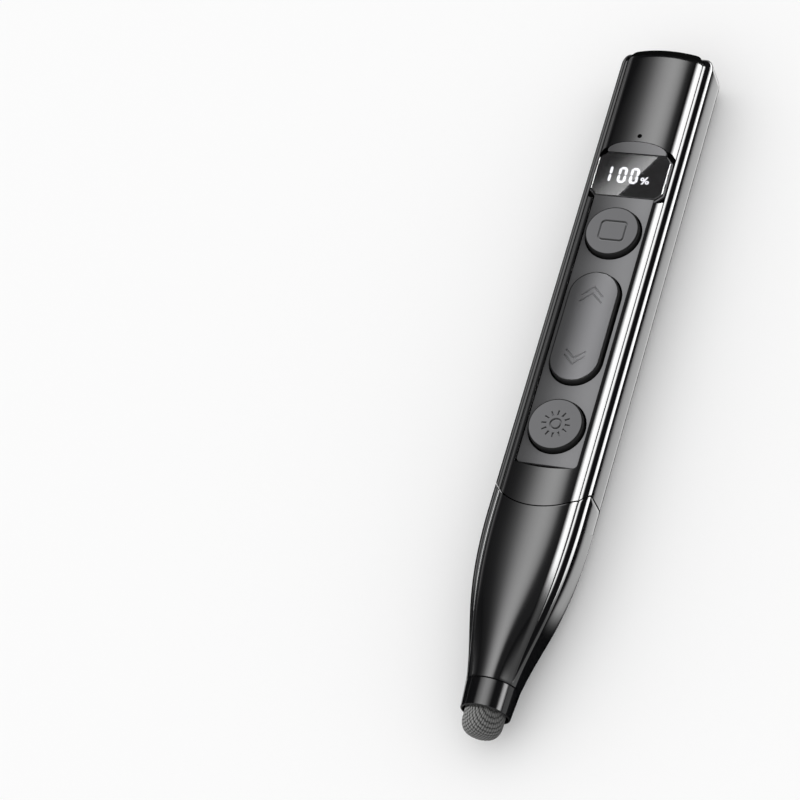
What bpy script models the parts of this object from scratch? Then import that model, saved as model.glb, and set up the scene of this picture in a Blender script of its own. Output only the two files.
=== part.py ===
"""Presentation laser pointer pen: a body of two shells, a pull-off nose with a stylus tip, three keys.

Metres, +Z up. The pen lies on its flat back. +Z leaves the front face, +Y points to the tail, where
the laser leaves, and the origin is on the back, under the middle of the pen's length.
"""
import math

import bmesh
import bpy
from mathutils import Matrix, Vector

# Section: flank to flank, and back to the crown of the front cover
BODY_WIDTH = 0.0196
BODY_DEPTH = 0.01455

# Fits: seams that show, pieces that rest on each other, how far a cutter runs past what it cuts
SEAM_GAP = 0.0002
SEAT_GAP = 0.0002
KEY_GAP = 0.00025
OVERRUN = 0.001
MIN_FILLET = 0.0001
WELD = 0.00001

# Section of the body: a crowned cover set into a round-backed tub
CROWN_RADIUS = 0.020
COVER_SHOULDER_RADIUS = 0.003
COVER_EDGE_ANGLE = math.radians(56)
SHELL_SHOULDER_RADIUS = 0.0017
SHELL_BACK_RADIUS = 0.005
RIM_STEP = 0.00005
WALL = 0.0016
SKIRT_DEPTH = 0.0017
SKIRT_THICKNESS = 0.0011
TAIL_EDGE_RADIUS = 0.0016

# Chain of lengths from the tip to the tail, with the keys and the window between them
NOSE_LENGTH = 0.045
PARTING_TO_PANEL = 0.0081
LOWER_RAMP_LENGTH = 0.0015
RAMP_TO_KEY = 0.0023
KEY_TO_ROCKER = 0.003975
KEY_TO_WINDOW = 0.00325
UPPER_RAMP_LENGTH = 0.0019
RAMP_TO_LIGHT = 0.00142
LIGHT_TO_TAIL = 0.02165

# Nose: the curve of the parting line, the taper and its groove
PARTING_RADIUS = 0.0118
NOSE_END_RADIUS = 0.00525
NOSE_FRONT_WALL = 0.0047
TAPER_HANDLE_SHARES = ((0.55, 0.0), (0.70, 0.70))
NOSE_GROOVE_DEPTH = 0.00045

# Stylus tip: the ring, the pad that stands out of it and the stem behind both
COLLAR_LENGTH = 0.0054
COLLAR_END_RADIUS = 0.00465
COLLAR_EDGE_RADIUS = 0.0003
COLLAR_BORE_LENGTH = 0.0019
PAD_RADIUS = 0.00395
PAD_REACH = 0.00467
PAD_DOME_LENGTH = 0.0038
STEM_RADIUS = 0.0020
STEM_IN_NOSE = 0.0038
STEM_IN_PAD = 0.0024

# Control panel: a matte inlay sunk into the crown, with a ramp up to the crown at each end
PANEL_SIDE_LAND = 0.0018
PANEL_DROP = 0.0013
PANEL_THICKNESS = 0.0008
DECK_THICKNESS = 0.0012

# Keys
KEY_SIDE_LAND = 0.0007
KEY_PROUD = 0.0014
KEY_TRAVEL = 0.0005
KEY_EDGE_RADIUS = 0.0003
KEY_SHELL = 0.0010
KEY_FLANGE_WIDTH = 0.0007
KEY_FLANGE_THICKNESS = 0.0006
KEY_POST_RADIUS = 0.0015
KEY_POST_DROP = 0.00015
ROCKER_SIDE_LAND = 0.00105
ROCKER_LENGTH = 0.0246
ROCKER_END_TO_POST = 0.0041
ROCKER_LUG_WIDTH = 0.0032
ROCKER_LUG_DROP = 0.0005
AXLE_RADIUS = 0.0005
AXLE_DROP = 0.00035
AXLE_GAP = 0.0001
AXLE_END_GAP = 0.00015

# Battery display: the eight-sided window, the tray under it and the lit block
WINDOW_SIDE_LAND = 0.0004
WINDOW_LENGTH = 0.01018
WINDOW_CHAMFER = 0.0014
WINDOW_THICKNESS = 0.0005
WINDOW_EDGE_RADIUS = 0.00012
WINDOW_GAP = 0.00015
TRAY_MARGIN = 0.0002
TRAY_THICKNESS = 0.0005
TRAY_TONGUE_WIDTH = 0.0120
TRAY_TONGUE_LENGTH = 0.0010
DISPLAY_BLOCK_WIDTH = 0.0112
DISPLAY_BLOCK_LENGTH = 0.0078
DISPLAY_BLOCK_RISE = 0.00035

# Indicator light above the panel
LIGHT_HOLE_RADIUS = 0.00055
LIGHT_PIPE_RADIUS = 0.00035
LIGHT_RECESS = 0.0003
LED_WIDTH = 0.0008
LED_LENGTH = 0.0016
LED_HEIGHT = 0.0006

# Board, switches and screws
SWITCH_SIDE = 0.0045
SWITCH_HEIGHT = 0.0016
SWITCH_WELL_RADIUS = 0.0014
SWITCH_WELL_FLOOR = 0.0002
PLUNGER_RADIUS = 0.0012
PLUNGER_LENGTH = 0.0013
BOARD_SIDE_GAP = 0.0005
BOARD_THICKNESS = 0.0008
LEDGE_WIDTH = 0.0010
LEDGE_HEIGHT = 0.0012
SCREW_SHANK_RADIUS = 0.0006
SCREW_HEAD_RADIUS = 0.0014
SCREW_HEAD_HEIGHT = 0.0008
SCREW_LENGTH = 0.0030
BOSS_RADIUS = 0.0018
SCREW_TO_SWITCH = 0.00085
LIGHT_TO_SCREW = 0.0030

# Battery
CELL_WIDTH = 0.0110
CELL_LENGTH = 0.0450
CELL_TOP_GAP = 0.0004
CELL_EDGE_RADIUS = 0.0009
PAD_STRIP_WIDTH = 0.0080
PAD_STRIP_THICKNESS = 0.0004

# Laser module and its window in the tail
BARREL_RADIUS = 0.0032
BARREL_BORE_RADIUS = 0.0027
BARREL_LIP_RADIUS = 0.0019
BARREL_LIP_THICKNESS = 0.0006
BARREL_LENGTH = 0.0102
BARREL_TO_WALL = 0.00115
LENS_RADIUS = 0.0025
LENS_EDGE = 0.0006
LENS_BULGE = 0.0006
DIODE_CAN_RADIUS = 0.0018
DIODE_BASE_RADIUS = 0.0025
DIODE_BASE_THICKNESS = 0.0012
DIODE_LENGTH = 0.0035
CRADLE_WIDTH = 0.0076
CRADLE_THICKNESS = 0.0010
CRADLE_END_INSET = 0.0016
APERTURE_RADIUS = 0.0020
LASER_WINDOW_RADIUS = 0.0026
LASER_WINDOW_THICKNESS = 0.0007
LASER_WINDOW_RECESS = 0.0001

# Charging socket in the left flank
PORT_WIDTH = 0.00894
PORT_HEIGHT = 0.00326
PORT_DEPTH = 0.00735
PORT_SKIN = 0.0003
PORT_RECESS = 0.0002
PORT_TO_BARREL = 0.0007
PORT_TONGUE_WIDTH = 0.0067
PORT_TONGUE_THICKNESS = 0.0007
PORT_TONGUE_LENGTH = 0.0045
PORT_BASE_DEPTH = 0.0012

# Stowed receiver and the bay that holds it
RECEIVER_HEAD_LENGTH = 0.0065
RECEIVER_HEAD_CORNER = 0.0020
PLUG_WIDTH = 0.0120
PLUG_THICKNESS = 0.0045
PLUG_LENGTH = 0.0115
PLUG_SKIN = 0.0003
PLUG_HOLE_SIDE = 0.0020
PLUG_HOLE_OFFSET = 0.0024
PLUG_HOLE_FROM_HEAD = 0.0055
TONGUE_THICKNESS = 0.0017
SLOT_GAP = 0.0002
HEAD_POCKET_GAP = 0.0003
SPIGOT_PAST_PARTING = 0.0060
SPIGOT_SIDE_WALL = 0.0010
SPIGOT_FLOOR = 0.0012
BAY_ROOF = 0.0006
BAY_ROOF_GAP = 0.0003
BAY_TO_SWITCH = 0.00145
BAY_END_WALL = 0.0010
SPIGOT_WALL_TO_PANEL = 0.0012
GRIP_NOTCH_RADIUS = 0.0042

# Facets
CROWN_STEPS = 8
SHOULDER_STEPS = 5
BACK_STEPS = 6
TAIL_STEPS = 5
NOSE_STEPS = 13
HOLLOW_STEPS = 7
PARTING_STEPS = 33
ROUND_STEPS = 40
SMALL_ROUND_STEPS = 20
FILLET_STEPS = 3

# Widths worked out from the flanks inwards
CAVITY_HALF_WIDTH = BODY_WIDTH / 2 - WALL
COVER_HALF_WIDTH = CAVITY_HALF_WIDTH - SEAM_GAP
BOARD_WIDTH = 2 * (CAVITY_HALF_WIDTH - BOARD_SIDE_GAP)
SCREW_X = SWITCH_SIDE / 2 + SCREW_TO_SWITCH + SCREW_HEAD_RADIUS
PANEL_WIDTH = 2 * (COVER_HALF_WIDTH - PANEL_SIDE_LAND)
KEY_RADIUS = PANEL_WIDTH / 2 - KEY_SIDE_LAND
ROCKER_WIDTH = PANEL_WIDTH - 2 * ROCKER_SIDE_LAND
WINDOW_WIDTH = 2 * (COVER_HALF_WIDTH - WINDOW_SIDE_LAND)
RECEIVER_HEAD_WIDTH = 2 * (COVER_HALF_WIDTH - SPIGOT_SIDE_WALL - HEAD_POCKET_GAP)

# Heights worked out from the front face down
AXIS_Z = BODY_DEPTH / 2
CROWN_TANGENT = math.asin((COVER_HALF_WIDTH - COVER_SHOULDER_RADIUS * math.sin(COVER_EDGE_ANGLE))
                          / (CROWN_RADIUS - COVER_SHOULDER_RADIUS))
CROWN_CENTRE_Z = BODY_DEPTH - CROWN_RADIUS
SHOULDER_CENTRE_X = (CROWN_RADIUS - COVER_SHOULDER_RADIUS) * math.sin(CROWN_TANGENT)
SHOULDER_CENTRE_Z = CROWN_CENTRE_Z + (CROWN_RADIUS - COVER_SHOULDER_RADIUS) * math.cos(CROWN_TANGENT)
COVER_EDGE_Z = SHOULDER_CENTRE_Z + COVER_SHOULDER_RADIUS * math.cos(COVER_EDGE_ANGLE)
RIM_Z = COVER_EDGE_Z - RIM_STEP
SKIRT_Z = RIM_Z - SKIRT_DEPTH
PANEL_Z = BODY_DEPTH - PANEL_DROP
KEY_TOP_Z = PANEL_Z + KEY_PROUD
PANEL_BOTTOM_Z = PANEL_Z - PANEL_THICKNESS
DECK_Z = PANEL_BOTTOM_Z - SEAT_GAP
DECK_BOTTOM_Z = DECK_Z - DECK_THICKNESS
FLANGE_Z = DECK_BOTTOM_Z - SEAT_GAP
FLANGE_BOTTOM_Z = FLANGE_Z - KEY_FLANGE_THICKNESS
POST_BOTTOM_Z = FLANGE_BOTTOM_Z - KEY_POST_DROP
PLUNGER_Z = POST_BOTTOM_Z - SEAT_GAP
SWITCH_Z = PLUNGER_Z - KEY_TRAVEL
SWITCH_BOTTOM_Z = SWITCH_Z - SWITCH_HEIGHT
BOARD_Z = SWITCH_BOTTOM_Z - SEAT_GAP
BOARD_BOTTOM_Z = BOARD_Z - BOARD_THICKNESS
LEDGE_Z = BOARD_BOTTOM_Z - SEAT_GAP
AXLE_Z = DECK_BOTTOM_Z - AXLE_DROP
ROCKER_BOTTOM_Z = POST_BOTTOM_Z
WINDOW_BOTTOM_Z = PANEL_Z - WINDOW_THICKNESS
TRAY_Z = WINDOW_BOTTOM_Z - SEAT_GAP
TRAY_BOTTOM_Z = TRAY_Z - TRAY_THICKNESS
POCKET_Z = TRAY_BOTTOM_Z - SEAT_GAP
DISPLAY_BLOCK_Z = WINDOW_BOTTOM_Z - DISPLAY_BLOCK_RISE
CELL_Z = WALL + SEAT_GAP + PAD_STRIP_THICKNESS + SEAT_GAP
CELL_THICKNESS = BOARD_BOTTOM_Z - CELL_TOP_GAP - CELL_Z
BAY_ROOF_Z = FLANGE_BOTTOM_Z - KEY_TRAVEL - BAY_ROOF_GAP
RECEIVER_RISE = BAY_ROOF_Z - BAY_ROOF - SLOT_GAP - PLUG_THICKNESS / 2
RECEIVER_HEAD_THICKNESS = 2 * (RECEIVER_RISE - HEAD_POCKET_GAP - SPIGOT_FLOOR - SEAM_GAP - WALL)

# Stations along the pen, worked out from the chain of lengths
KEY_SPACING = 2 * (KEY_RADIUS + KEY_TO_ROCKER) + ROCKER_LENGTH
PANEL_TO_LASER_KEY = LOWER_RAMP_LENGTH + RAMP_TO_KEY + KEY_RADIUS
FUNCTION_KEY_TO_DISPLAY = KEY_RADIUS + KEY_TO_WINDOW + WINDOW_LENGTH / 2
DISPLAY_TO_LIGHT = WINDOW_LENGTH / 2 + WINDOW_GAP + UPPER_RAMP_LENGTH + RAMP_TO_LIGHT
TOTAL_LENGTH = (NOSE_LENGTH + PARTING_TO_PANEL + PANEL_TO_LASER_KEY + KEY_SPACING
                + FUNCTION_KEY_TO_DISPLAY + DISPLAY_TO_LIGHT + LIGHT_TO_TAIL)
TAIL_Y = TOTAL_LENGTH / 2
TIP_Y = -TOTAL_LENGTH / 2
TAIL_WALL_Y = TAIL_Y - WALL
PARTING_Y = TIP_Y + NOSE_LENGTH
PARTING_CENTRE_Y = PARTING_Y + PARTING_RADIUS
COLLAR_END_Y = TIP_Y + PAD_REACH
COLLAR_START_Y = COLLAR_END_Y + COLLAR_LENGTH
NOSE_END_Y = COLLAR_START_Y + SEAM_GAP
NOSE_HOLLOW_END_Y = NOSE_END_Y + NOSE_FRONT_WALL
PANEL_LOWER_END_Y = PARTING_Y + PARTING_TO_PANEL
LOWER_FOLD_Y = PANEL_LOWER_END_Y + LOWER_RAMP_LENGTH
LASER_KEY_Y = PANEL_LOWER_END_Y + PANEL_TO_LASER_KEY
FUNCTION_KEY_Y = LASER_KEY_Y + KEY_SPACING
ROCKER_Y = LASER_KEY_Y + KEY_SPACING / 2
PAGE_UP_Y = ROCKER_Y + ROCKER_LENGTH / 2 - ROCKER_END_TO_POST
PAGE_DOWN_Y = ROCKER_Y - ROCKER_LENGTH / 2 + ROCKER_END_TO_POST
DISPLAY_Y = FUNCTION_KEY_Y + FUNCTION_KEY_TO_DISPLAY
UPPER_FOLD_Y = DISPLAY_Y + WINDOW_LENGTH / 2 + WINDOW_GAP
LIGHT_Y = DISPLAY_Y + DISPLAY_TO_LIGHT
SPIGOT_REAR_Y = PANEL_LOWER_END_Y - SEAM_GAP - SPIGOT_WALL_TO_PANEL - SEAM_GAP
BAY_REAR_Y = LASER_KEY_Y - SWITCH_SIDE / 2 - BAY_TO_SWITCH
SLOT_END_Y = BAY_REAR_Y - BAY_END_WALL
PLUG_END_Y = SLOT_END_Y - SLOT_GAP
HEAD_REAR_Y = PLUG_END_Y - PLUG_LENGTH
HEAD_FRONT_Y = HEAD_REAR_Y - RECEIVER_HEAD_LENGTH
SPIGOT_FRONT_Y = PARTING_Y - SPIGOT_PAST_PARTING
BARREL_FRONT_Y = TAIL_WALL_Y - BARREL_TO_WALL
BARREL_REAR_Y = BARREL_FRONT_Y - BARREL_LENGTH
BOARD_FRONT_Y = BAY_REAR_Y + SEAT_GAP
BOARD_REAR_Y = BARREL_REAR_Y - SEAT_GAP
PORT_Y = BARREL_REAR_Y - PORT_TO_BARREL - PORT_WIDTH / 2
PORT_Z = BOARD_Z - BOARD_THICKNESS / 2
FRONT_SCREW_Y = BOARD_FRONT_Y + BOSS_RADIUS
TAIL_SCREW_Y = LIGHT_Y + LIGHT_TO_SCREW
CELL_FRONT_Y = FRONT_SCREW_Y + BOSS_RADIUS + SEAT_GAP


def clear_scene():
    """Remove what the file opened with."""
    for item in list(bpy.data.objects):
        bpy.data.objects.remove(item, do_unlink=True)


def new_collection(name):
    """A collection under the scene's own."""
    collection = bpy.data.collections.new(name)
    bpy.context.scene.collection.children.link(collection)
    return collection


def plastic(name, colour, roughness):
    """A moulded plastic."""
    return finish(name, colour, roughness, 0.0)


def finish(name, colour, roughness, metallic):
    """A Principled material."""
    item = bpy.data.materials.new(name)
    item.use_nodes = True
    shader = item.node_tree.nodes["Principled BSDF"]
    shader.inputs["Base Color"].default_value = (*colour, 1.0)
    shader.inputs["Roughness"].default_value = roughness
    shader.inputs["Metallic"].default_value = metallic
    item.diffuse_color = (*colour, 1.0)
    return item


def from_bmesh(name, shape, collection):
    """Turn a bmesh into an object, faces outwards."""
    bmesh.ops.recalc_face_normals(shape, faces=shape.faces)
    mesh = bpy.data.meshes.new(name)
    shape.to_mesh(mesh)
    shape.free()
    item = bpy.data.objects.new(name, mesh)
    collection.objects.link(item)
    return item


def loft(name, rings, collection):
    """Skin closed rings of equal count, with a face over each end."""
    shape = bmesh.new()
    loops = [[shape.verts.new(point) for point in ring] for ring in rings]
    for near, far in zip(loops, loops[1:]):
        for index, corner in enumerate(near):
            after = (index + 1) % len(near)
            shape.faces.new((corner, near[after], far[after], far[index]))
    shape.faces.new(loops[0])
    shape.faces.new(loops[-1])
    return from_bmesh(name, shape, collection)


def prism(name, outline, low, high, collection, along="Z"):
    """Extrude a flat outline. The outline is in XY for Z, in XZ for Y and in YZ for X."""
    place = {"Z": lambda a, b: (a, b, low),
             "Y": lambda a, b: (a, low, b),
             "X": lambda a, b: (low, a, b)}[along]
    travel = {"Z": Vector((0, 0, 1)), "Y": Vector((0, 1, 0)), "X": Vector((1, 0, 0))}[along]
    shape = bmesh.new()
    face = shape.faces.new([shape.verts.new(place(a, b)) for a, b in outline])
    grown = bmesh.ops.extrude_face_region(shape, geom=[face])
    tops = [part for part in grown["geom"] if isinstance(part, bmesh.types.BMVert)]
    bmesh.ops.translate(shape, verts=tops, vec=travel * (high - low))
    return from_bmesh(name, shape, collection)


def box(name, low, high, collection):
    """A box between two corners."""
    low, high = Vector(low), Vector(high)
    shape = bmesh.new()
    size = high - low
    matrix = Matrix.Translation((low + high) / 2) @ Matrix.Diagonal((size.x, size.y, size.z, 1))
    bmesh.ops.create_cube(shape, size=1, matrix=matrix)
    return from_bmesh(name, shape, collection)


def rod(name, radius, start, end, collection, steps=SMALL_ROUND_STEPS):
    """A cylinder from one point to another."""
    start, end = Vector(start), Vector(end)
    run = end - start
    turn = run.to_track_quat("Z", "Y").to_matrix().to_4x4()
    shape = bmesh.new()
    bmesh.ops.create_cone(shape, cap_ends=True, segments=steps, radius1=radius, radius2=radius,
                          depth=run.length, matrix=Matrix.Translation((start + end) / 2) @ turn)
    return from_bmesh(name, shape, collection)


def turned(name, profile, place, collection, steps=ROUND_STEPS, towards="Z"):
    """Spin a profile of (radius, height) points, listed from its top down the outside and round.

    A profile that doesn't begin on the axis is closed, which makes a ring.
    """
    mesh = bpy.data.meshes.new(name)
    edges = [(index, index + 1) for index in range(len(profile) - 1)]
    if profile[0][0] > 0:
        edges.append((len(profile) - 1, 0))
    mesh.from_pydata([(radius, 0, height) for radius, height in profile], edges, [])
    item = bpy.data.objects.new(name, mesh)
    collection.objects.link(item)
    item.location = place
    item.rotation_euler = {"Z": (0, 0, 0), "-Y": (math.pi / 2, 0, 0), "+Y": (-math.pi / 2, 0, 0)}[towards]
    screw = item.modifiers.new("Turn", "SCREW")
    screw.steps = screw.render_steps = steps
    screw.use_merge_vertices = True
    screw.merge_threshold = WELD
    return item


def as_cutter(item):
    """Hide a helper from the render and show it as a wire."""
    item.hide_render = True
    item.display_type = "WIRE"
    return item


def combine(item, other, operation):
    """Add an exact Boolean with a helper."""
    as_cutter(other)
    step = item.modifiers.new(other.name, "BOOLEAN")
    step.operation = operation
    step.object = other
    step.solver = "EXACT"


def cut(item, *others):
    """Take helpers away from a piece."""
    for other in others:
        combine(item, other, "DIFFERENCE")


def join(item, *others):
    """Fuse helpers to a piece."""
    for other in others:
        combine(item, other, "UNION")


def complete(item, material, origin=None):
    """Give a piece its material and smooth shading, and put its origin on its joint or centre."""
    if origin is not None:
        shift = Vector(origin) - item.location
        turn = item.rotation_euler.to_matrix().inverted()
        item.data.transform(Matrix.Translation(turn @ -shift))
        item.location = origin
    item.data.materials.clear()
    item.data.materials.append(material)
    item.data.shade_smooth()
    item.data.set_sharp_from_angle(angle=math.radians(35))
    return item


def arc(centre_x, centre_z, radius, start, end, steps):
    """Points on an arc, its angle taken from +Z towards +X."""
    angles = [start + (end - start) * index / steps for index in range(steps + 1)]
    return [(centre_x + radius * math.sin(angle), centre_z + radius * math.cos(angle)) for angle in angles]


def cover_half(inset):
    """Right half of the crown from its top to the cover's edge, drawn in by the inset."""
    crown = arc(0, CROWN_CENTRE_Z, CROWN_RADIUS - inset, 0, CROWN_TANGENT, CROWN_STEPS)
    shoulder = arc(SHOULDER_CENTRE_X, SHOULDER_CENTRE_Z, COVER_SHOULDER_RADIUS - inset,
                   CROWN_TANGENT, COVER_EDGE_ANGLE, SHOULDER_STEPS)
    return crown + shoulder[1:]


def shell_half(inset, start_x):
    """Right half of the tub from its rim at start_x round to the middle of the back."""
    half = BODY_WIDTH / 2 - inset
    top_radius = max(SHELL_SHOULDER_RADIUS - inset, MIN_FILLET)
    back_radius = max(SHELL_BACK_RADIUS - inset, MIN_FILLET)
    start = math.asin(min(max((start_x - half + top_radius) / top_radius, 0), 1))
    top_z = RIM_Z - inset - top_radius
    shoulder = arc(half - top_radius, top_z, top_radius, start, math.pi / 2, SHOULDER_STEPS)
    back = arc(half - back_radius, inset + back_radius, back_radius, math.pi / 2, math.pi, BACK_STEPS)
    return shoulder + back + [(0, inset)]


def whole(half):
    """Close a right half, listed from the top centre to the bottom centre, with its mirror."""
    return half + [(-x, z) for x, z in reversed(half[1:-1])]


def ring(outline, y):
    """Stand a section outline at a station along the pen."""
    return [(x, y, z) for x, z in outline]


def taper_share(y):
    """How far the nose has gone from the body's section, 0, to the round end, 1."""
    reach = min(max((PARTING_Y - y) / (PARTING_Y - NOSE_END_Y), 0), 1)
    (ahead, _), (behind, rise) = TAPER_HANDLE_SHARES
    low, high = 0.0, 1.0
    for _ in range(40):
        step = (low + high) / 2
        along = 3 * (1 - step) ** 2 * step * ahead + 3 * (1 - step) * step ** 2 * behind + step ** 3
        low, high = (step, high) if along < reach else (low, step)
    return 3 * (1 - low) * low ** 2 * rise + low ** 3


def nose_outline(y, inset, groove):
    """Section of the nose at a station: cover and tub in one, with the groove that parts them."""
    share = taper_share(y)
    cover, tub = cover_half(inset), shell_half(inset, CAVITY_HALF_WIDTH)
    points = [(x, z, 0) for x, z in cover]
    if groove:
        mid_x, mid_z = (cover[-1][0] + tub[0][0]) / 2, (cover[-1][1] + tub[0][1]) / 2
        points.append((mid_x, mid_z, groove))
    points += [(x, z, 0) for x, z in tub]
    half = []
    for x, z, depth in points:
        reach = math.hypot(x, z - AXIS_Z)
        blended = reach + (NOSE_END_RADIUS - inset - reach) * share - depth * (1 - share)
        half.append((x * blended / reach, AXIS_Z + (z - AXIS_Z) * blended / reach))
    return whole(half)


def rounded_rectangle(width, height, radius, centre=(0, 0)):
    """Outline of a rectangle with round corners."""
    points = []
    for quarter, (side, up) in enumerate(((1, 1), (1, -1), (-1, -1), (-1, 1))):
        corner_x = centre[0] + side * (width / 2 - radius)
        corner_y = centre[1] + up * (height / 2 - radius)
        start = quarter * math.pi / 2
        points += arc(corner_x, corner_y, radius, start, start + math.pi / 2, FILLET_STEPS)
    return points


def window_outline(margin):
    """The eight-sided window's outline, grown by a margin."""
    half_x, half_y = WINDOW_WIDTH / 2 + margin, WINDOW_LENGTH / 2 + margin
    chamfer = WINDOW_CHAMFER + margin * (2 - math.sqrt(2))
    corners = [(half_x - chamfer, half_y), (half_x, half_y - chamfer),
               (half_x, chamfer - half_y), (half_x - chamfer, -half_y)]
    return [(x, DISPLAY_Y + y) for x, y in corners] + [(-x, DISPLAY_Y + y) for x, y in reversed(corners)]


def stadium(margin):
    """The rocker's outline, grown by a margin."""
    radius = ROCKER_WIDTH / 2 + margin
    run = ROCKER_LENGTH / 2 - ROCKER_WIDTH / 2
    top = arc(0, ROCKER_Y + run, radius, -math.pi / 2, math.pi / 2, ROUND_STEPS // 2)
    bottom = arc(0, ROCKER_Y - run, radius, math.pi / 2, math.pi * 3 / 2, ROUND_STEPS // 2)
    return top + bottom


def crown_z(x):
    """Height of the crown's main arc."""
    return CROWN_CENTRE_Z + math.sqrt(CROWN_RADIUS ** 2 - x ** 2)


def panel_outline(margin):
    """The panel in plan: straight sides, and ends where its ramps run out at the crown."""
    half = PANEL_WIDTH / 2
    places = [half - PANEL_WIDTH * index / CROWN_STEPS / 2 for index in range(2 * CROWN_STEPS + 1)]
    climbs = [(x, (crown_z(x) - PANEL_Z) / PANEL_DROP) for x in places]
    lower = [(x, LOWER_FOLD_Y - LOWER_RAMP_LENGTH * climb - margin) for x, climb in climbs]
    upper = [(x, UPPER_FOLD_Y + UPPER_RAMP_LENGTH * climb + margin) for x, climb in reversed(climbs)]
    spread = (half + margin) / half
    return [(x * spread, y) for x, y in lower + upper]


def rounded_top(radius, top, fillet):
    """Profile points round the top edge of a turned piece, from its axis."""
    return [(0, top)] + arc(radius - fillet, top - fillet, fillet, 0, math.pi / 2, FILLET_STEPS)


def body_stations():
    """Stations of the body from past the parting line to the rounded tail, each with its inset."""
    stations = [(PARTING_Y - OVERRUN, 0)]
    for index in range(TAIL_STEPS + 1):
        angle = math.pi / 2 * index / TAIL_STEPS
        stations.append((TAIL_Y - TAIL_EDGE_RADIUS * (1 - math.sin(angle)),
                         TAIL_EDGE_RADIUS * (1 - math.cos(angle))))
    return stations


def parting_cutter(name, cutters):
    """What lies on the nose's side of the curved parting line."""
    edge = PARTING_RADIUS + BODY_WIDTH
    curve = arc(0, PARTING_CENTRE_Y, PARTING_RADIUS, math.pi * 3 / 2, math.pi / 2, PARTING_STEPS)
    far = TIP_Y - OVERRUN
    outline = curve + [(edge, PARTING_CENTRE_Y), (edge, far), (-edge, far), (-edge, PARTING_CENTRE_Y)]
    return prism(name, outline, -OVERRUN, KEY_TOP_Z + OVERRUN, cutters)


def make_rear_shell(parts, cutters, material):
    """The tub: round back, flanks, tail wall, board ledges, screw bosses and the laser's cradles."""
    rings = []
    for y, inset in body_stations():
        rim = RIM_Z - inset
        rings.append(ring(whole([(0, rim)] + shell_half(inset, 0)), y))
    shell = loft("rear_shell", rings, parts)
    back_radius = max(SHELL_BACK_RADIUS - WALL, MIN_FILLET)
    corner_x, corner_z = CAVITY_HALF_WIDTH - back_radius, WALL + back_radius
    hollow = [(0, KEY_TOP_Z), (CAVITY_HALF_WIDTH, KEY_TOP_Z)]
    hollow += arc(corner_x, corner_z, back_radius, math.pi / 2, math.pi, BACK_STEPS)
    hollow += [(0, WALL)]
    cut(shell, prism("rear_shell_hollow", whole(hollow), PARTING_Y - 2 * OVERRUN, TAIL_WALL_Y, cutters, "Y"),
        parting_cutter("rear_shell_parting", cutters))
    sink = WALL / 2
    ledge_rear = DISPLAY_Y + WINDOW_LENGTH / 2
    for side, name in ((-1, "left"), (1, "right")):
        inner, outer = side * (CAVITY_HALF_WIDTH - LEDGE_WIDTH), side * (CAVITY_HALF_WIDTH + sink)
        join(shell, box(f"board_ledge_{name}", (min(inner, outer), BOARD_FRONT_Y, LEDGE_Z - LEDGE_HEIGHT),
                        (max(inner, outer), ledge_rear, LEDGE_Z), cutters))
    for index, (x, y) in enumerate(screw_places()):
        join(shell, rod(f"screw_boss_{index}", BOSS_RADIUS, (x, y, WALL - sink), (x, y, LEDGE_Z), cutters))
        floor = BOARD_Z - SCREW_LENGTH - SEAT_GAP
        cut(shell, rod(f"screw_pilot_{index}", SCREW_SHANK_RADIUS + SEAT_GAP, (x, y, floor),
                       (x, y, LEDGE_Z + OVERRUN), cutters))
    for index, y in enumerate((BARREL_REAR_Y + CRADLE_END_INSET, BARREL_FRONT_Y - CRADLE_END_INSET)):
        join(shell, box(f"laser_cradle_{index}", (-CRADLE_WIDTH / 2, y - CRADLE_THICKNESS / 2, WALL - sink),
                        (CRADLE_WIDTH / 2, y + CRADLE_THICKNESS / 2, AXIS_Z), cutters))
    outside = (0, TAIL_Y + OVERRUN, AXIS_Z)
    cut(shell,
        rod("laser_seat", BARREL_RADIUS + SEAT_GAP, (0, BARREL_REAR_Y, AXIS_Z), (0, TAIL_WALL_Y, AXIS_Z),
            cutters, ROUND_STEPS),
        rod("laser_aperture", APERTURE_RADIUS, (0, TAIL_WALL_Y - OVERRUN, AXIS_Z), outside,
            cutters, ROUND_STEPS),
        rod("laser_window_seat", LASER_WINDOW_RADIUS + SEAT_GAP, (0, laser_window_rear(), AXIS_Z), outside,
            cutters, ROUND_STEPS))
    mouth_width, mouth_height = PORT_WIDTH + 2 * SEAT_GAP, PORT_HEIGHT + 2 * SEAT_GAP
    mouth = rounded_rectangle(mouth_width, mouth_height, PORT_HEIGHT / 2, (PORT_Y, PORT_Z))
    cut(shell, prism("charge_mouth", mouth, -BODY_WIDTH / 2 - OVERRUN, OVERRUN - CAVITY_HALF_WIDTH,
                     cutters, "X"))
    return complete(shell, material)


def screw_places():
    """Where the board's screws go, in plan."""
    return ((SCREW_X, FRONT_SCREW_Y), (SCREW_X, TAIL_SCREW_Y))


def laser_window_rear():
    """Floor of the laser window's seat, from which the window keeps its gap."""
    return TAIL_Y - LASER_WINDOW_RECESS - LASER_WINDOW_THICKNESS - SEAT_GAP


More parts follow.
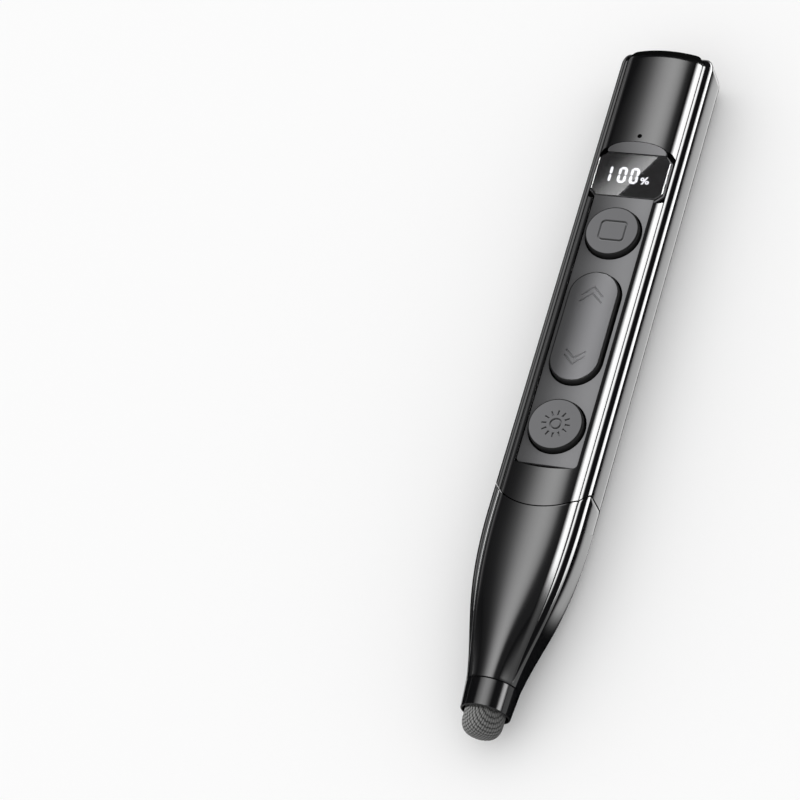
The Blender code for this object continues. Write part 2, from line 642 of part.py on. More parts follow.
def make_front_cover(parts, cutters, material):
    """The crowned cover: its skirt, the deck under the panel, the key holes and the axle bosses."""
    rings = []
    for y, inset in body_stations():
        half = cover_half(inset)
        half += [(half[-1][0], SKIRT_Z), (0, SKIRT_Z)]
        rings.append(ring(whole(half), y))
    cover = loft("front_cover", rings, parts)
    skirt_end = TAIL_WALL_Y - SEAM_GAP
    inner = COVER_HALF_WIDTH - SKIRT_THICKNESS
    room_end = skirt_end - SKIRT_THICKNESS
    spigot_room_end = SPIGOT_REAR_Y + SEAM_GAP
    crown_room = cover_half(WALL)
    crown_room += [(crown_room[-1][0], SKIRT_Z - OVERRUN), (0, SKIRT_Z - OVERRUN)]
    crown_room_start = UPPER_FOLD_Y + UPPER_RAMP_LENGTH + SEAM_GAP + WALL
    low, high = SKIRT_Z - OVERRUN, BODY_DEPTH + OVERRUN
    cut(cover,
        parting_cutter("front_cover_parting", cutters),
        box("tail_lip", (-BODY_WIDTH, skirt_end, -OVERRUN),
            (BODY_WIDTH, TAIL_Y + OVERRUN, RIM_Z + SEAM_GAP), cutters),
        box("under_deck", (-inner, SPIGOT_REAR_Y, low), (inner, room_end, DECK_BOTTOM_Z), cutters),
        prism("crown_room", whole(crown_room), crown_room_start, room_end, cutters, "Y"),
        prism("spigot_room", nose_outline(PARTING_Y, WALL, 0), PARTING_Y - 2 * OVERRUN, spigot_room_end,
              cutters, "Y"),
        prism("panel_recess", panel_outline(SEAM_GAP), DECK_Z, high, cutters),
        prism("window_pocket", window_outline(TRAY_MARGIN + KEY_GAP), POCKET_Z, high, cutters),
        tray_tongue("tray_tongue_room", SEAT_GAP, POCKET_Z, PANEL_Z, cutters))
    boss_inner = ROCKER_WIDTH / 2 + KEY_GAP + AXLE_END_GAP
    for side, name in ((-1, "left"), (1, "right")):
        near, far = side * boss_inner, side * (inner + SKIRT_THICKNESS / 2)
        boss_top = DECK_BOTTOM_Z + DECK_THICKNESS / 2
        join(cover, box(f"axle_boss_{name}",
                        (min(near, far), ROCKER_Y - ROCKER_LUG_WIDTH / 2, AXLE_Z - 2 * AXLE_RADIUS),
                        (max(near, far), ROCKER_Y + ROCKER_LUG_WIDTH / 2, boss_top), cutters))
    cut(cover,
        rod("axle_hole", AXLE_RADIUS + AXLE_GAP, (-inner, ROCKER_Y, AXLE_Z), (inner, ROCKER_Y, AXLE_Z),
            cutters),
        rod("function_key_hole", KEY_RADIUS + KEY_GAP, (0, FUNCTION_KEY_Y, low), (0, FUNCTION_KEY_Y, high),
            cutters, ROUND_STEPS),
        rod("laser_key_hole", KEY_RADIUS + KEY_GAP, (0, LASER_KEY_Y, low), (0, LASER_KEY_Y, high),
            cutters, ROUND_STEPS),
        prism("rocker_hole", stadium(KEY_GAP), DECK_BOTTOM_Z - SEAT_GAP, high, cutters),
        display_opening("deck_opening", low, high, cutters),
        rod("light_hole", LIGHT_HOLE_RADIUS, (0, LIGHT_Y, low), (0, LIGHT_Y, high), cutters))
    return complete(cover, material)


def tray_tongue(name, margin, low, high, collection):
    """The tongues that carry the panel on under both ends of the window."""
    half_x = TRAY_TONGUE_WIDTH / 2 + margin
    half_y = WINDOW_LENGTH / 2 + TRAY_TONGUE_LENGTH + margin
    return box(name, (-half_x, DISPLAY_Y - half_y, low), (half_x, DISPLAY_Y + half_y, high), collection)


def display_opening(name, low, high, collection):
    """Opening that the lit block stands in."""
    half_x, half_y = DISPLAY_BLOCK_WIDTH / 2 + KEY_GAP, DISPLAY_BLOCK_LENGTH / 2 + KEY_GAP
    return box(name, (-half_x, DISPLAY_Y - half_y, low), (half_x, DISPLAY_Y + half_y, high), collection)


def make_control_panel(parts, cutters, material):
    """The matte inlay: one strip with a ramp at each end and a tray for the window."""
    panel = prism("control_panel", panel_outline(0), PANEL_BOTTOM_Z, BODY_DEPTH, parts)
    above = BODY_DEPTH + OVERRUN
    rise = above - PANEL_Z
    air = [(LOWER_FOLD_Y, PANEL_Z), (UPPER_FOLD_Y, PANEL_Z),
           (UPPER_FOLD_Y + UPPER_RAMP_LENGTH * rise / PANEL_DROP, above),
           (LOWER_FOLD_Y - LOWER_RAMP_LENGTH * rise / PANEL_DROP, above)]
    join(panel, tray_tongue("panel_tongue", 0, TRAY_BOTTOM_Z, PANEL_BOTTOM_Z + PANEL_THICKNESS / 2, cutters),
         prism("panel_tray", window_outline(TRAY_MARGIN), TRAY_BOTTOM_Z, TRAY_Z, cutters))
    low = TRAY_BOTTOM_Z - OVERRUN
    cut(panel,
        prism("panel_air", air, -BODY_WIDTH, BODY_WIDTH, cutters, "X"),
        prism("window_seat", window_outline(WINDOW_GAP), TRAY_Z, above, cutters),
        rod("panel_function_hole", KEY_RADIUS + KEY_GAP, (0, FUNCTION_KEY_Y, low),
            (0, FUNCTION_KEY_Y, above), cutters, ROUND_STEPS),
        rod("panel_laser_hole", KEY_RADIUS + KEY_GAP, (0, LASER_KEY_Y, low),
            (0, LASER_KEY_Y, above), cutters, ROUND_STEPS),
        prism("panel_rocker_hole", stadium(KEY_GAP), low, above, cutters),
        display_opening("panel_opening", low, above, cutters))
    return complete(panel, material)


def make_display(parts, window_material, block_material):
    """The window and the lit block under it."""
    window = prism("display_window", window_outline(0), WINDOW_BOTTOM_Z, PANEL_Z, parts)
    edge = window.modifiers.new("Edge", "BEVEL")
    edge.width = WINDOW_EDGE_RADIUS
    edge.segments = 2
    edge.limit_method = "ANGLE"
    complete(window, window_material)
    half_x, half_y = DISPLAY_BLOCK_WIDTH / 2, DISPLAY_BLOCK_LENGTH / 2
    block = box("display_module", (-half_x, DISPLAY_Y - half_y, BOARD_Z + SEAT_GAP),
                (half_x, DISPLAY_Y + half_y, DISPLAY_BLOCK_Z), parts)
    complete(block, block_material)


def make_status_light(parts, pipe_material, led_material):
    """The light pipe in the crown and the small lamp on the board under it."""
    led_bottom = BOARD_Z + SEAT_GAP
    led_top = led_bottom + LED_HEIGHT
    pipe = rod("status_light", LIGHT_PIPE_RADIUS, (0, LIGHT_Y, led_top + SEAT_GAP),
               (0, LIGHT_Y, BODY_DEPTH - LIGHT_RECESS), parts, SMALL_ROUND_STEPS)
    complete(pipe, pipe_material)
    led = box("status_led", (-LED_WIDTH / 2, LIGHT_Y - LED_LENGTH / 2, led_bottom),
              (LED_WIDTH / 2, LIGHT_Y + LED_LENGTH / 2, led_top), parts)
    complete(led, led_material)


def make_round_key(name, y, parts, material):
    """A round key: a turned cap with a thin wall, a flange under the deck and a post to its switch."""
    inner = KEY_RADIUS - KEY_SHELL
    roof = KEY_TOP_Z - KEY_SHELL
    profile = rounded_top(KEY_RADIUS, KEY_TOP_Z, KEY_EDGE_RADIUS)
    profile += [(KEY_RADIUS, FLANGE_Z), (KEY_RADIUS + KEY_FLANGE_WIDTH, FLANGE_Z),
                (KEY_RADIUS + KEY_FLANGE_WIDTH, FLANGE_BOTTOM_Z), (inner, FLANGE_BOTTOM_Z), (inner, roof),
                (KEY_POST_RADIUS, roof), (KEY_POST_RADIUS, POST_BOTTOM_Z), (0, POST_BOTTOM_Z)]
    profile = [(radius, height - KEY_TOP_Z) for radius, height in profile]
    return complete(turned(name, profile, (0, y, KEY_TOP_Z), parts), material)


def make_page_rocker(parts, cutters, material, axle_material):
    """The long key: a hollow cap with a post over each switch and a lug on the axle."""
    rocker = prism("page_rocker", stadium(0), ROCKER_BOTTOM_Z, KEY_TOP_Z, parts)
    edge = rocker.modifiers.new("Edge", "BEVEL")
    edge.width = KEY_EDGE_RADIUS
    edge.segments = FILLET_STEPS
    edge.limit_method = "ANGLE"
    edge.angle_limit = math.radians(60)
    roof = KEY_TOP_Z - KEY_SHELL
    cut(rocker, prism("rocker_hollow", stadium(-KEY_SHELL), ROCKER_BOTTOM_Z - OVERRUN, roof, cutters))
    sink = KEY_SHELL / 2
    lug_half = ROCKER_WIDTH / 2 - KEY_SHELL + sink
    lug_bottom = ROCKER_BOTTOM_Z - ROCKER_LUG_DROP
    join(rocker, box("rocker_lug", (-lug_half, ROCKER_Y - ROCKER_LUG_WIDTH / 2, lug_bottom),
                     (lug_half, ROCKER_Y + ROCKER_LUG_WIDTH / 2, roof + sink), cutters))
    for y, name in ((PAGE_UP_Y, "up"), (PAGE_DOWN_Y, "down")):
        join(rocker, rod(f"rocker_post_{name}", KEY_POST_RADIUS, (0, y, ROCKER_BOTTOM_Z),
                         (0, y, roof + sink), cutters))
    cut(rocker, rod("rocker_bore", AXLE_RADIUS + AXLE_GAP, (-ROCKER_WIDTH, ROCKER_Y, AXLE_Z),
                    (ROCKER_WIDTH, ROCKER_Y, AXLE_Z), cutters))
    complete(rocker, material, (0, ROCKER_Y, AXLE_Z))
    reach = COVER_HALF_WIDTH - SKIRT_THICKNESS - AXLE_END_GAP
    axle = rod("rocker_axle", AXLE_RADIUS, (-reach, ROCKER_Y, AXLE_Z), (reach, ROCKER_Y, AXLE_Z), parts)
    complete(axle, axle_material)


def make_switches(parts, cutters, body_material, plunger_material):
    """Four push switches on the board, each with its plunger under a key's post."""
    places = (("function", FUNCTION_KEY_Y), ("page_up", PAGE_UP_Y),
              ("page_down", PAGE_DOWN_Y), ("laser", LASER_KEY_Y))
    for name, y in places:
        half = SWITCH_SIDE / 2
        switch = box(f"{name}_switch", (-half, y - half, SWITCH_BOTTOM_Z), (half, y + half, SWITCH_Z), parts)
        floor = SWITCH_BOTTOM_Z + SWITCH_WELL_FLOOR
        cut(switch, rod(f"{name}_well", SWITCH_WELL_RADIUS, (0, y, floor), (0, y, SWITCH_Z + OVERRUN),
                        cutters))
        complete(switch, body_material)
        plunger = rod(f"{name}_plunger", PLUNGER_RADIUS, (0, y, PLUNGER_Z - PLUNGER_LENGTH),
                      (0, y, PLUNGER_Z), parts)
        joint_z = AXLE_Z if name.startswith("page") else KEY_TOP_Z
        joint_y = ROCKER_Y if name.startswith("page") else y
        complete(plunger, plunger_material, (0, joint_y, joint_z))


def make_board(parts, cutters, material, screw_material):
    """The main board and its two screws."""
    half = BOARD_WIDTH / 2
    board = box("circuit_board", (-half, BOARD_FRONT_Y, BOARD_BOTTOM_Z), (half, BOARD_REAR_Y, BOARD_Z),
                parts)
    inner_x = -BODY_WIDTH / 2 + PORT_RECESS + PORT_DEPTH + SEAT_GAP
    cut(board, box("port_notch", (-BODY_WIDTH, PORT_Y - PORT_WIDTH / 2 - SEAT_GAP, BOARD_BOTTOM_Z - OVERRUN),
                   (inner_x, PORT_Y + PORT_WIDTH / 2 + SEAT_GAP, BOARD_Z + OVERRUN), cutters))
    for (x, y), name in zip(screw_places(), ("front", "tail")):
        cut(board, rod(f"board_hole_{name}", SCREW_SHANK_RADIUS + SEAT_GAP, (x, y, BOARD_BOTTOM_Z - OVERRUN),
                       (x, y, BOARD_Z + OVERRUN), cutters))
        complete(screw_shape(f"board_screw_{name}", x, y, parts), screw_material)
    complete(board, material)


def screw_shape(name, x, y, collection):
    """One screw, its head clear of the board by the seat gap."""
    under_head = BOARD_Z + SEAT_GAP
    profile = [(0, under_head + SCREW_HEAD_HEIGHT), (SCREW_HEAD_RADIUS, under_head + SCREW_HEAD_HEIGHT),
               (SCREW_HEAD_RADIUS, under_head), (SCREW_SHANK_RADIUS, under_head),
               (SCREW_SHANK_RADIUS, BOARD_Z - SCREW_LENGTH), (0, BOARD_Z - SCREW_LENGTH)]
    return turned(name, profile, (x, y, 0), collection, SMALL_ROUND_STEPS)


def make_battery(parts, cell_material, pad_material):
    """The flat cell on its foam strip."""
    centre = (0, CELL_Z + CELL_THICKNESS / 2)
    outline = rounded_rectangle(CELL_WIDTH, CELL_THICKNESS, CELL_EDGE_RADIUS, centre)
    cell = prism("battery_cell", outline, CELL_FRONT_Y, CELL_FRONT_Y + CELL_LENGTH, parts, "Y")
    complete(cell, cell_material)
    pad_bottom = WALL + SEAT_GAP
    pad = box("battery_pad", (-PAD_STRIP_WIDTH / 2, CELL_FRONT_Y, pad_bottom),
              (PAD_STRIP_WIDTH / 2, CELL_FRONT_Y + CELL_LENGTH, pad_bottom + PAD_STRIP_THICKNESS), parts)
    complete(pad, pad_material)


def make_laser(parts, brass, glass, diode_material, window_material):
    """The barrel, its lens and diode, and the window that closes the tail."""
    place = (0, BARREL_FRONT_Y, AXIS_Z)
    lip, length, bore = BARREL_LIP_THICKNESS, BARREL_LENGTH, BARREL_BORE_RADIUS
    barrel = [(BARREL_LIP_RADIUS, 0), (BARREL_RADIUS, 0), (BARREL_RADIUS, -length), (bore, -length),
              (bore, -lip), (BARREL_LIP_RADIUS, -lip)]
    complete(turned("laser_barrel", barrel, place, parts, ROUND_STEPS, "+Y"), brass)
    front = -lip - SEAT_GAP
    middle = front - LENS_BULGE
    dome = [(LENS_RADIUS * math.sin(angle), LENS_BULGE * math.cos(angle))
            for angle in (math.pi / 2 * index / FILLET_STEPS for index in range(FILLET_STEPS + 1))]
    lens = [(radius, middle + rise) for radius, rise in dome]
    lens += [(radius, middle - LENS_EDGE - rise) for radius, rise in reversed(dome)]
    complete(turned("laser_lens", lens, place, parts, SMALL_ROUND_STEPS, "+Y"), glass)
    base, can = -length, -length + DIODE_LENGTH
    diode = [(0, can), (DIODE_CAN_RADIUS, can), (DIODE_CAN_RADIUS, base + DIODE_BASE_THICKNESS),
             (DIODE_BASE_RADIUS, base + DIODE_BASE_THICKNESS), (DIODE_BASE_RADIUS, base), (0, base)]
    complete(turned("laser_diode", diode, place, parts, SMALL_ROUND_STEPS, "+Y"), diode_material)
    rear = laser_window_rear() + SEAT_GAP
    window = rod("laser_window", LASER_WINDOW_RADIUS, (0, rear, AXIS_Z),
                 (0, rear + LASER_WINDOW_THICKNESS, AXIS_Z), parts, ROUND_STEPS)
    complete(window, window_material)


def make_charge_port(parts, cutters, steel, tongue_material):
    """The charging socket: a thin oval shell, open to the flank, and its contact tongue."""
    mouth_x = -BODY_WIDTH / 2 + PORT_RECESS
    rear_x = mouth_x + PORT_DEPTH
    centre = (PORT_Y, PORT_Z)
    outer = rounded_rectangle(PORT_WIDTH, PORT_HEIGHT, PORT_HEIGHT / 2 - MIN_FILLET, centre)
    port = prism("charge_port", outer, mouth_x, rear_x, parts, "X")
    inner_width, inner_height = PORT_WIDTH - 2 * PORT_SKIN, PORT_HEIGHT - 2 * PORT_SKIN
    inner = rounded_rectangle(inner_width, inner_height, inner_height / 2 - MIN_FILLET, centre)
    cut(port, prism("charge_bore", inner, mouth_x - OVERRUN, rear_x - PORT_SKIN, cutters, "X"))
    complete(port, steel)
    base_rear = rear_x - PORT_SKIN - SEAT_GAP
    base_front = base_rear - PORT_BASE_DEPTH
    base = rounded_rectangle(inner_width - 2 * SEAT_GAP, inner_height - 2 * SEAT_GAP,
                             inner_height / 2 - SEAT_GAP - MIN_FILLET, centre)
    tongue = prism("charge_tongue", base, base_front, base_rear, parts, "X")
    half_y, half_z = PORT_TONGUE_WIDTH / 2, PORT_TONGUE_THICKNESS / 2
    join(tongue, box("charge_blade", (base_front - PORT_TONGUE_LENGTH, PORT_Y - half_y, PORT_Z - half_z),
                     (base_rear - PORT_BASE_DEPTH / 2, PORT_Y + half_y, PORT_Z + half_z), cutters))
    complete(tongue, tongue_material)


def make_receiver_bay(parts, cutters, material):
    """The bulkhead: a spigot that the nose plugs on, the receiver's slot and two grip notches."""
    outline = nose_outline(PARTING_Y, WALL + SEAM_GAP, 0)
    bay = prism("receiver_bay", outline, SPIGOT_FRONT_Y, BAY_REAR_Y, parts, "Y")
    gap = HEAD_POCKET_GAP
    pocket = rounded_rectangle(RECEIVER_HEAD_WIDTH + 2 * gap, RECEIVER_HEAD_THICKNESS + 2 * gap,
                               RECEIVER_HEAD_CORNER + gap, (0, RECEIVER_RISE))
    half_x, half_z = PLUG_WIDTH / 2 + SLOT_GAP, PLUG_THICKNESS / 2 + SLOT_GAP
    cut(bay,
        box("bay_step", (-BODY_WIDTH, SPIGOT_REAR_Y, BAY_ROOF_Z),
            (BODY_WIDTH, BAY_REAR_Y + OVERRUN, KEY_TOP_Z), cutters),
        prism("head_pocket", pocket, SPIGOT_FRONT_Y - OVERRUN, HEAD_REAR_Y + gap, cutters, "Y"),
        box("plug_slot", (-half_x, HEAD_FRONT_Y, RECEIVER_RISE - half_z),
            (half_x, SLOT_END_Y, RECEIVER_RISE + half_z), cutters),
        rod("grip_notches", GRIP_NOTCH_RADIUS, (0, SPIGOT_FRONT_Y, -OVERRUN), (0, SPIGOT_FRONT_Y, KEY_TOP_Z),
            cutters, ROUND_STEPS))
    return complete(bay, material)


def make_receiver(parts, cutters, head_material, steel, tongue_material):
    """The stowed receiver: its grip, its plug shell and its contact tongue."""
    origin = (0, HEAD_FRONT_Y, RECEIVER_RISE)
    outline = rounded_rectangle(RECEIVER_HEAD_WIDTH, RECEIVER_HEAD_THICKNESS, RECEIVER_HEAD_CORNER,
                                (0, RECEIVER_RISE))
    head = prism("receiver_head", outline, HEAD_FRONT_Y, HEAD_REAR_Y, parts, "Y")
    complete(head, head_material, origin)
    start = HEAD_REAR_Y + SLOT_GAP
    half_x, half_z, skin = PLUG_WIDTH / 2, PLUG_THICKNESS / 2, PLUG_SKIN
    plug = box("receiver_plug", (-half_x, start, RECEIVER_RISE - half_z),
               (half_x, PLUG_END_Y, RECEIVER_RISE + half_z), parts)
    cut(plug, box("plug_bore", (skin - half_x, start - OVERRUN, RECEIVER_RISE - half_z + skin),
                  (half_x - skin, PLUG_END_Y + OVERRUN, RECEIVER_RISE + half_z - skin), cutters))
    hole_y, hole = HEAD_REAR_Y + PLUG_HOLE_FROM_HEAD, PLUG_HOLE_SIDE / 2
    for side, name in ((-1, "left"), (1, "right")):
        x = side * PLUG_HOLE_OFFSET
        cut(plug, box(f"plug_holes_{name}", (x - hole, hole_y - hole, RECEIVER_RISE - PLUG_THICKNESS),
                      (x + hole, hole_y + hole, RECEIVER_RISE + PLUG_THICKNESS), cutters))
    complete(plug, steel, origin)
    inner = half_x - skin - SLOT_GAP
    floor = RECEIVER_RISE - half_z + skin + SLOT_GAP
    tongue = box("receiver_tongue", (-inner, start, floor),
                 (inner, PLUG_END_Y - skin, floor + TONGUE_THICKNESS), parts)
    complete(tongue, tongue_material, origin)


def make_nose_cap(parts, cutters, material):
    """The hollow nose: body section at the curved mouth, round at the end, the groove dying out."""
    mouth = PARTING_CENTRE_Y
    rings = [ring(nose_outline(mouth, 0, NOSE_GROOVE_DEPTH), mouth)]
    for index in range(NOSE_STEPS + 1):
        y = PARTING_Y + (NOSE_END_Y - PARTING_Y) * index / NOSE_STEPS
        rings.append(ring(nose_outline(y, 0, NOSE_GROOVE_DEPTH), y))
    nose = loft("nose_cap", rings, parts)
    hollow = [ring(nose_outline(mouth, WALL, 0), mouth + OVERRUN)]
    for index in range(HOLLOW_STEPS + 1):
        y = PARTING_Y + (NOSE_HOLLOW_END_Y - PARTING_Y) * index / HOLLOW_STEPS
        hollow.append(ring(nose_outline(y, WALL, 0), y))
    cut(nose, loft("nose_hollow", hollow, cutters),
        rod("parting_drum", PARTING_RADIUS + SEAM_GAP, (0, PARTING_CENTRE_Y, -OVERRUN),
            (0, PARTING_CENTRE_Y, KEY_TOP_Z + OVERRUN), cutters, 2 * PARTING_STEPS),
        rod("stem_bore", STEM_RADIUS + SEAT_GAP, (0, NOSE_HOLLOW_END_Y + OVERRUN, AXIS_Z),
            (0, NOSE_END_Y - OVERRUN, AXIS_Z), cutters, SMALL_ROUND_STEPS))
    return complete(nose, material, (0, PARTING_Y, AXIS_Z))


def make_tip(parts, collar_material, pad_material, stem_material):
    """The stylus tip: ring, woven pad and the stem that carries both."""
    place = (0, COLLAR_START_Y, AXIS_Z)
    bore, edge = STEM_RADIUS + SEAT_GAP, COLLAR_EDGE_RADIUS
    pocket = PAD_RADIUS + SEAT_GAP
    rounded = arc(COLLAR_END_RADIUS - edge, COLLAR_LENGTH - edge, edge, 0, math.pi / 2, FILLET_STEPS)
    collar = [(pocket, COLLAR_LENGTH)] + rounded
    collar += [(NOSE_END_RADIUS, 0), (bore, 0), (bore, COLLAR_BORE_LENGTH), (pocket, COLLAR_BORE_LENGTH)]
    complete(turned("tip_collar", collar, place, parts, ROUND_STEPS, "-Y"), collar_material)
    apex = COLLAR_LENGTH + PAD_REACH
    root = COLLAR_BORE_LENGTH + SEAT_GAP
    dome = arc(0, 0, 1, 0, math.pi / 2, 2 * FILLET_STEPS)
    pad = [(PAD_RADIUS * x, apex - PAD_DOME_LENGTH + PAD_DOME_LENGTH * z) for x, z in dome]
    pad += [(PAD_RADIUS, root), (bore, root), (bore, root + STEM_IN_PAD), (0, root + STEM_IN_PAD)]
    complete(turned("stylus_tip", pad, place, parts, ROUND_STEPS, "-Y"), pad_material)
    stem_end = root + STEM_IN_PAD - SEAT_GAP
    stem = rod("tip_core", STEM_RADIUS, (0, COLLAR_START_Y + STEM_IN_NOSE, AXIS_Z),
               (0, COLLAR_START_Y - stem_end, AXIS_Z), parts, SMALL_ROUND_STEPS)
    complete(stem, stem_material, place)


def main():
    """Build every piece."""
    clear_scene()
    parts = new_collection("laser_pointer_pen")
    cutters = new_collection("cutters")
    gloss_black = plastic("gloss black", (0.012, 0.012, 0.014), 0.12)
    panel_grey = plastic("matte panel grey", (0.075, 0.075, 0.078), 0.55)
    key_grey = plastic("matte key grey", (0.085, 0.085, 0.088), 0.5)
    smoked = plastic("smoked window", (0.02, 0.02, 0.022), 0.05)
    lit = plastic("display block", (0.85, 0.87, 0.9), 0.6)
    clear_plastic = plastic("clear plastic", (0.5, 0.5, 0.52), 0.1)
    frame_black = plastic("frame black", (0.02, 0.02, 0.02), 0.45)
    switch_black = plastic("switch black", (0.03, 0.03, 0.03), 0.5)
    plunger_white = plastic("plunger white", (0.8, 0.8, 0.78), 0.4)
    board_green = plastic("board green", (0.02, 0.16, 0.06), 0.4)
    foil = finish("cell foil", (0.72, 0.73, 0.75), 0.35, 0.8)
    foam = plastic("foam", (0.1, 0.1, 0.1), 0.9)
    steel = finish("plated steel", (0.75, 0.75, 0.76), 0.25, 1.0)
    brass = finish("brass", (0.75, 0.55, 0.2), 0.3, 1.0)
    glass = plastic("lens glass", (0.8, 0.85, 0.85), 0.05)
    red_glass = plastic("laser window red", (0.35, 0.02, 0.02), 0.08)
    weave = plastic("conductive weave", (0.21, 0.21, 0.2), 0.8)

    make_rear_shell(parts, cutters, gloss_black)
    make_front_cover(parts, cutters, gloss_black)
    make_control_panel(parts, cutters, panel_grey)
    make_display(parts, smoked, lit)
    make_status_light(parts, clear_plastic, plunger_white)
    make_round_key("function_key", FUNCTION_KEY_Y, parts, key_grey)
    make_round_key("laser_key", LASER_KEY_Y, parts, key_grey)
    make_page_rocker(parts, cutters, key_grey, steel)
    make_switches(parts, cutters, switch_black, plunger_white)
    make_board(parts, cutters, board_green, steel)
    make_battery(parts, foil, foam)
    make_laser(parts, brass, glass, steel, red_glass)
    make_charge_port(parts, cutters, steel, switch_black)
    make_receiver_bay(parts, cutters, frame_black)
    make_receiver(parts, cutters, frame_black, steel, plunger_white)
    make_nose_cap(parts, cutters, gloss_black)
    make_tip(parts, gloss_black, weave, steel)


main()
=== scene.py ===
"""Looks of the presentation laser pointer pen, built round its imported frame.

Metres, +Z up, +Y towards the tail. The big gloss shells, the keys and the window are remade at a
finer grain than the frame's own solids, with softened edges, and ride on the same bodies.
"""

import math

import bmesh
import bpy
import numpy as np
from mathutils import Matrix, Vector


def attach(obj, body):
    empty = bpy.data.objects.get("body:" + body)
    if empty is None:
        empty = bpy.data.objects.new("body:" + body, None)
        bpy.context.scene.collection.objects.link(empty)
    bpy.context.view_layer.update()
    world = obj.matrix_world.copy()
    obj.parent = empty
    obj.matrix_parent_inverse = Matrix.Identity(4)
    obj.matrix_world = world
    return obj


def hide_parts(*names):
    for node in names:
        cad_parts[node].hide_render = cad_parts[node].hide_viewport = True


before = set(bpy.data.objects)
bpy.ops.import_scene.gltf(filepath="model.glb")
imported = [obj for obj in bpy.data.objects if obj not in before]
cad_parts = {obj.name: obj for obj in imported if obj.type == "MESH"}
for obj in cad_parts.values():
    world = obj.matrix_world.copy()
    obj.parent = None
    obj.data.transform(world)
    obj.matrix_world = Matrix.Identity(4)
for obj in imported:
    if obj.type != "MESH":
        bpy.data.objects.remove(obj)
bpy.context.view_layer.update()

# Section of the body
BODY_HALF = 0.0098
AXIS_Z = 0.007275
TOP_Z = 0.01455
CAVITY_HALF = 0.0082
COVER_HALF = 0.0080
MOUTH_HALF = 0.00815
CROWN_RADIUS = 0.020
CROWN_CENTRE_Z = TOP_Z - CROWN_RADIUS
CROWN_TANGENT = math.radians(18.924)
SHOULDER_RADIUS = 0.003
SHOULDER_X = (CROWN_RADIUS - SHOULDER_RADIUS) * math.sin(CROWN_TANGENT)
SHOULDER_Z = CROWN_CENTRE_Z + (CROWN_RADIUS - SHOULDER_RADIUS) * math.cos(CROWN_TANGENT)
COVER_EDGE = math.radians(57.75)
RIM_Z = SHOULDER_Z + SHOULDER_RADIUS * math.cos(math.radians(56)) - 0.00005
TUB_SHOULDER = 0.0017
TUB_BACK = 0.005
WALL = 0.0016
SKIRT_Z = RIM_Z - 0.0017
SKIRT = 0.0011
SEAM = 0.0002
PAST = 0.001
RIM_EDGE = 0.00006
PARTING_EDGE = 0.00003

# Stations along the pen
TAIL_Y = 0.075
TIP_Y = -0.075
TAIL_EDGE = 0.0016
TAIL_RUN = 0.0026
TAIL_WALL_Y = 0.0734
ROUND_START_Y = TAIL_Y - TAIL_RUN
PARTING_Y = -0.030
DRUM_Y = -0.0182
DRUM_RADIUS = 0.0118
LOWER_FOLD_Y = -0.0204
UPPER_FOLD_Y = 0.05003
LASER_KEY_Y = -0.0126
FUNCTION_KEY_Y = 0.03095
ROCKER_Y = 0.009175
DISPLAY_Y = 0.04479
LIGHT_Y = 0.05335
NOSE_END_Y = -0.06473
NOSE_HOLLOW_END_Y = -0.06003
COLLAR_START_Y = -0.06493
COLLAR_END_Y = -0.07033
COLLAR_FACE_DEPTH = 0.0001
NOSE_END_RADIUS = 0.00525
UNDER_DECK_Y = -0.0235
SPIGOT_ROOM_Y = -0.0233
STEM_BORE = 0.0022

# Panel, keys and window
PANEL_HALF = 0.0062
PANEL_Z = 0.01325
PANEL_BOTTOM_Z = 0.01245
PANEL_DROP = 0.0013
LOWER_RAMP = 0.0015
UPPER_RAMP = 0.0019
PANEL_END = 0.00045
PANEL_CORNER = 0.0009
RECESS_MARGIN = 0.00012
DECK_Z = 0.01225
DECK_BOTTOM_Z = 0.01105
KEY_RADIUS = 0.0055
KEY_GAP = 0.00040
KEY_TOP_Z = 0.01465
KEY_BOTTOM_Z = 0.01025
FLANGE_Z = 0.01085
FLANGE_RADIUS = 0.0062
KEY_SHELL = 0.0010
POST_RADIUS = 0.0015
POST_BOTTOM_Z = 0.0101
POSTS_Y = (0.017375, 0.000975)
ROCKER_WIDTH = 0.0103
ROCKER_LENGTH = 0.0246
LUG_HALF = 0.0016
LUG_BOTTOM_Z = 0.0096
AXLE_BORE = 0.00058
AXLE_Z = 0.0107
WINDOW_HALF_X = 0.0076
WINDOW_HALF_Y = 0.00509
WINDOW_CHAMFER = 0.0014
WINDOW_THICKNESS = 0.0005
WINDOW_BEVEL = 0.00026
POCKET_Z = 0.01185
POCKET_SHAPE = (0.0009, 0.0014, 0.0009)
SEAT_MARGIN = 0.00015
TRAY_MARGIN = 0.0002
TRAY_BOTTOM_Z = 0.01205
TRAY_TOP_Z = 0.01255
TONGUE = (0.0060, 0.00609, 0.01285)
LAMP_OPENING = (0.00585, 0.00415)
DIGIT_OPENING = (0.0054, 0.0037)
LIGHT_HOLE_RADIUS = 0.00048
MASK_Z = 0.0126
DIGIT_Z = 0.01243
DIGIT_WIDTH = 0.00182
DIGIT_HEIGHT = 0.00376
SEGMENT = 0.00054

# Mouths of the laser and of the charging socket
APERTURE_RADIUS = 0.0020
LASER_SEAT_RADIUS = 0.0028
LASER_SEAT_DEPTH = 0.001
PORT_LOW = (0.05221, 0.00537)
PORT_HIGH = (0.06155, 0.00903)
PORT_RADIUS = 0.00182

# Cloth of the pad
THREAD = 0.0005
WEAVE_DEPTH = 0.00016

# Cards and blinds on the floor beside the pen
CARD_Z = 0.0003
BLIND_HALF = 0.00001
FACE_UP = (0, math.pi, 0)

# Signs cut into the keys
SIGN_WIDTH = 0.00056
SIGN_DEPTH = 0.00024
KEY_EDGE = 0.00028


# Mesh helpers

def add_object(name, data):
    """An object in the scene."""
    item = bpy.data.objects.new(name, data)
    bpy.context.scene.collection.objects.link(item)
    return item


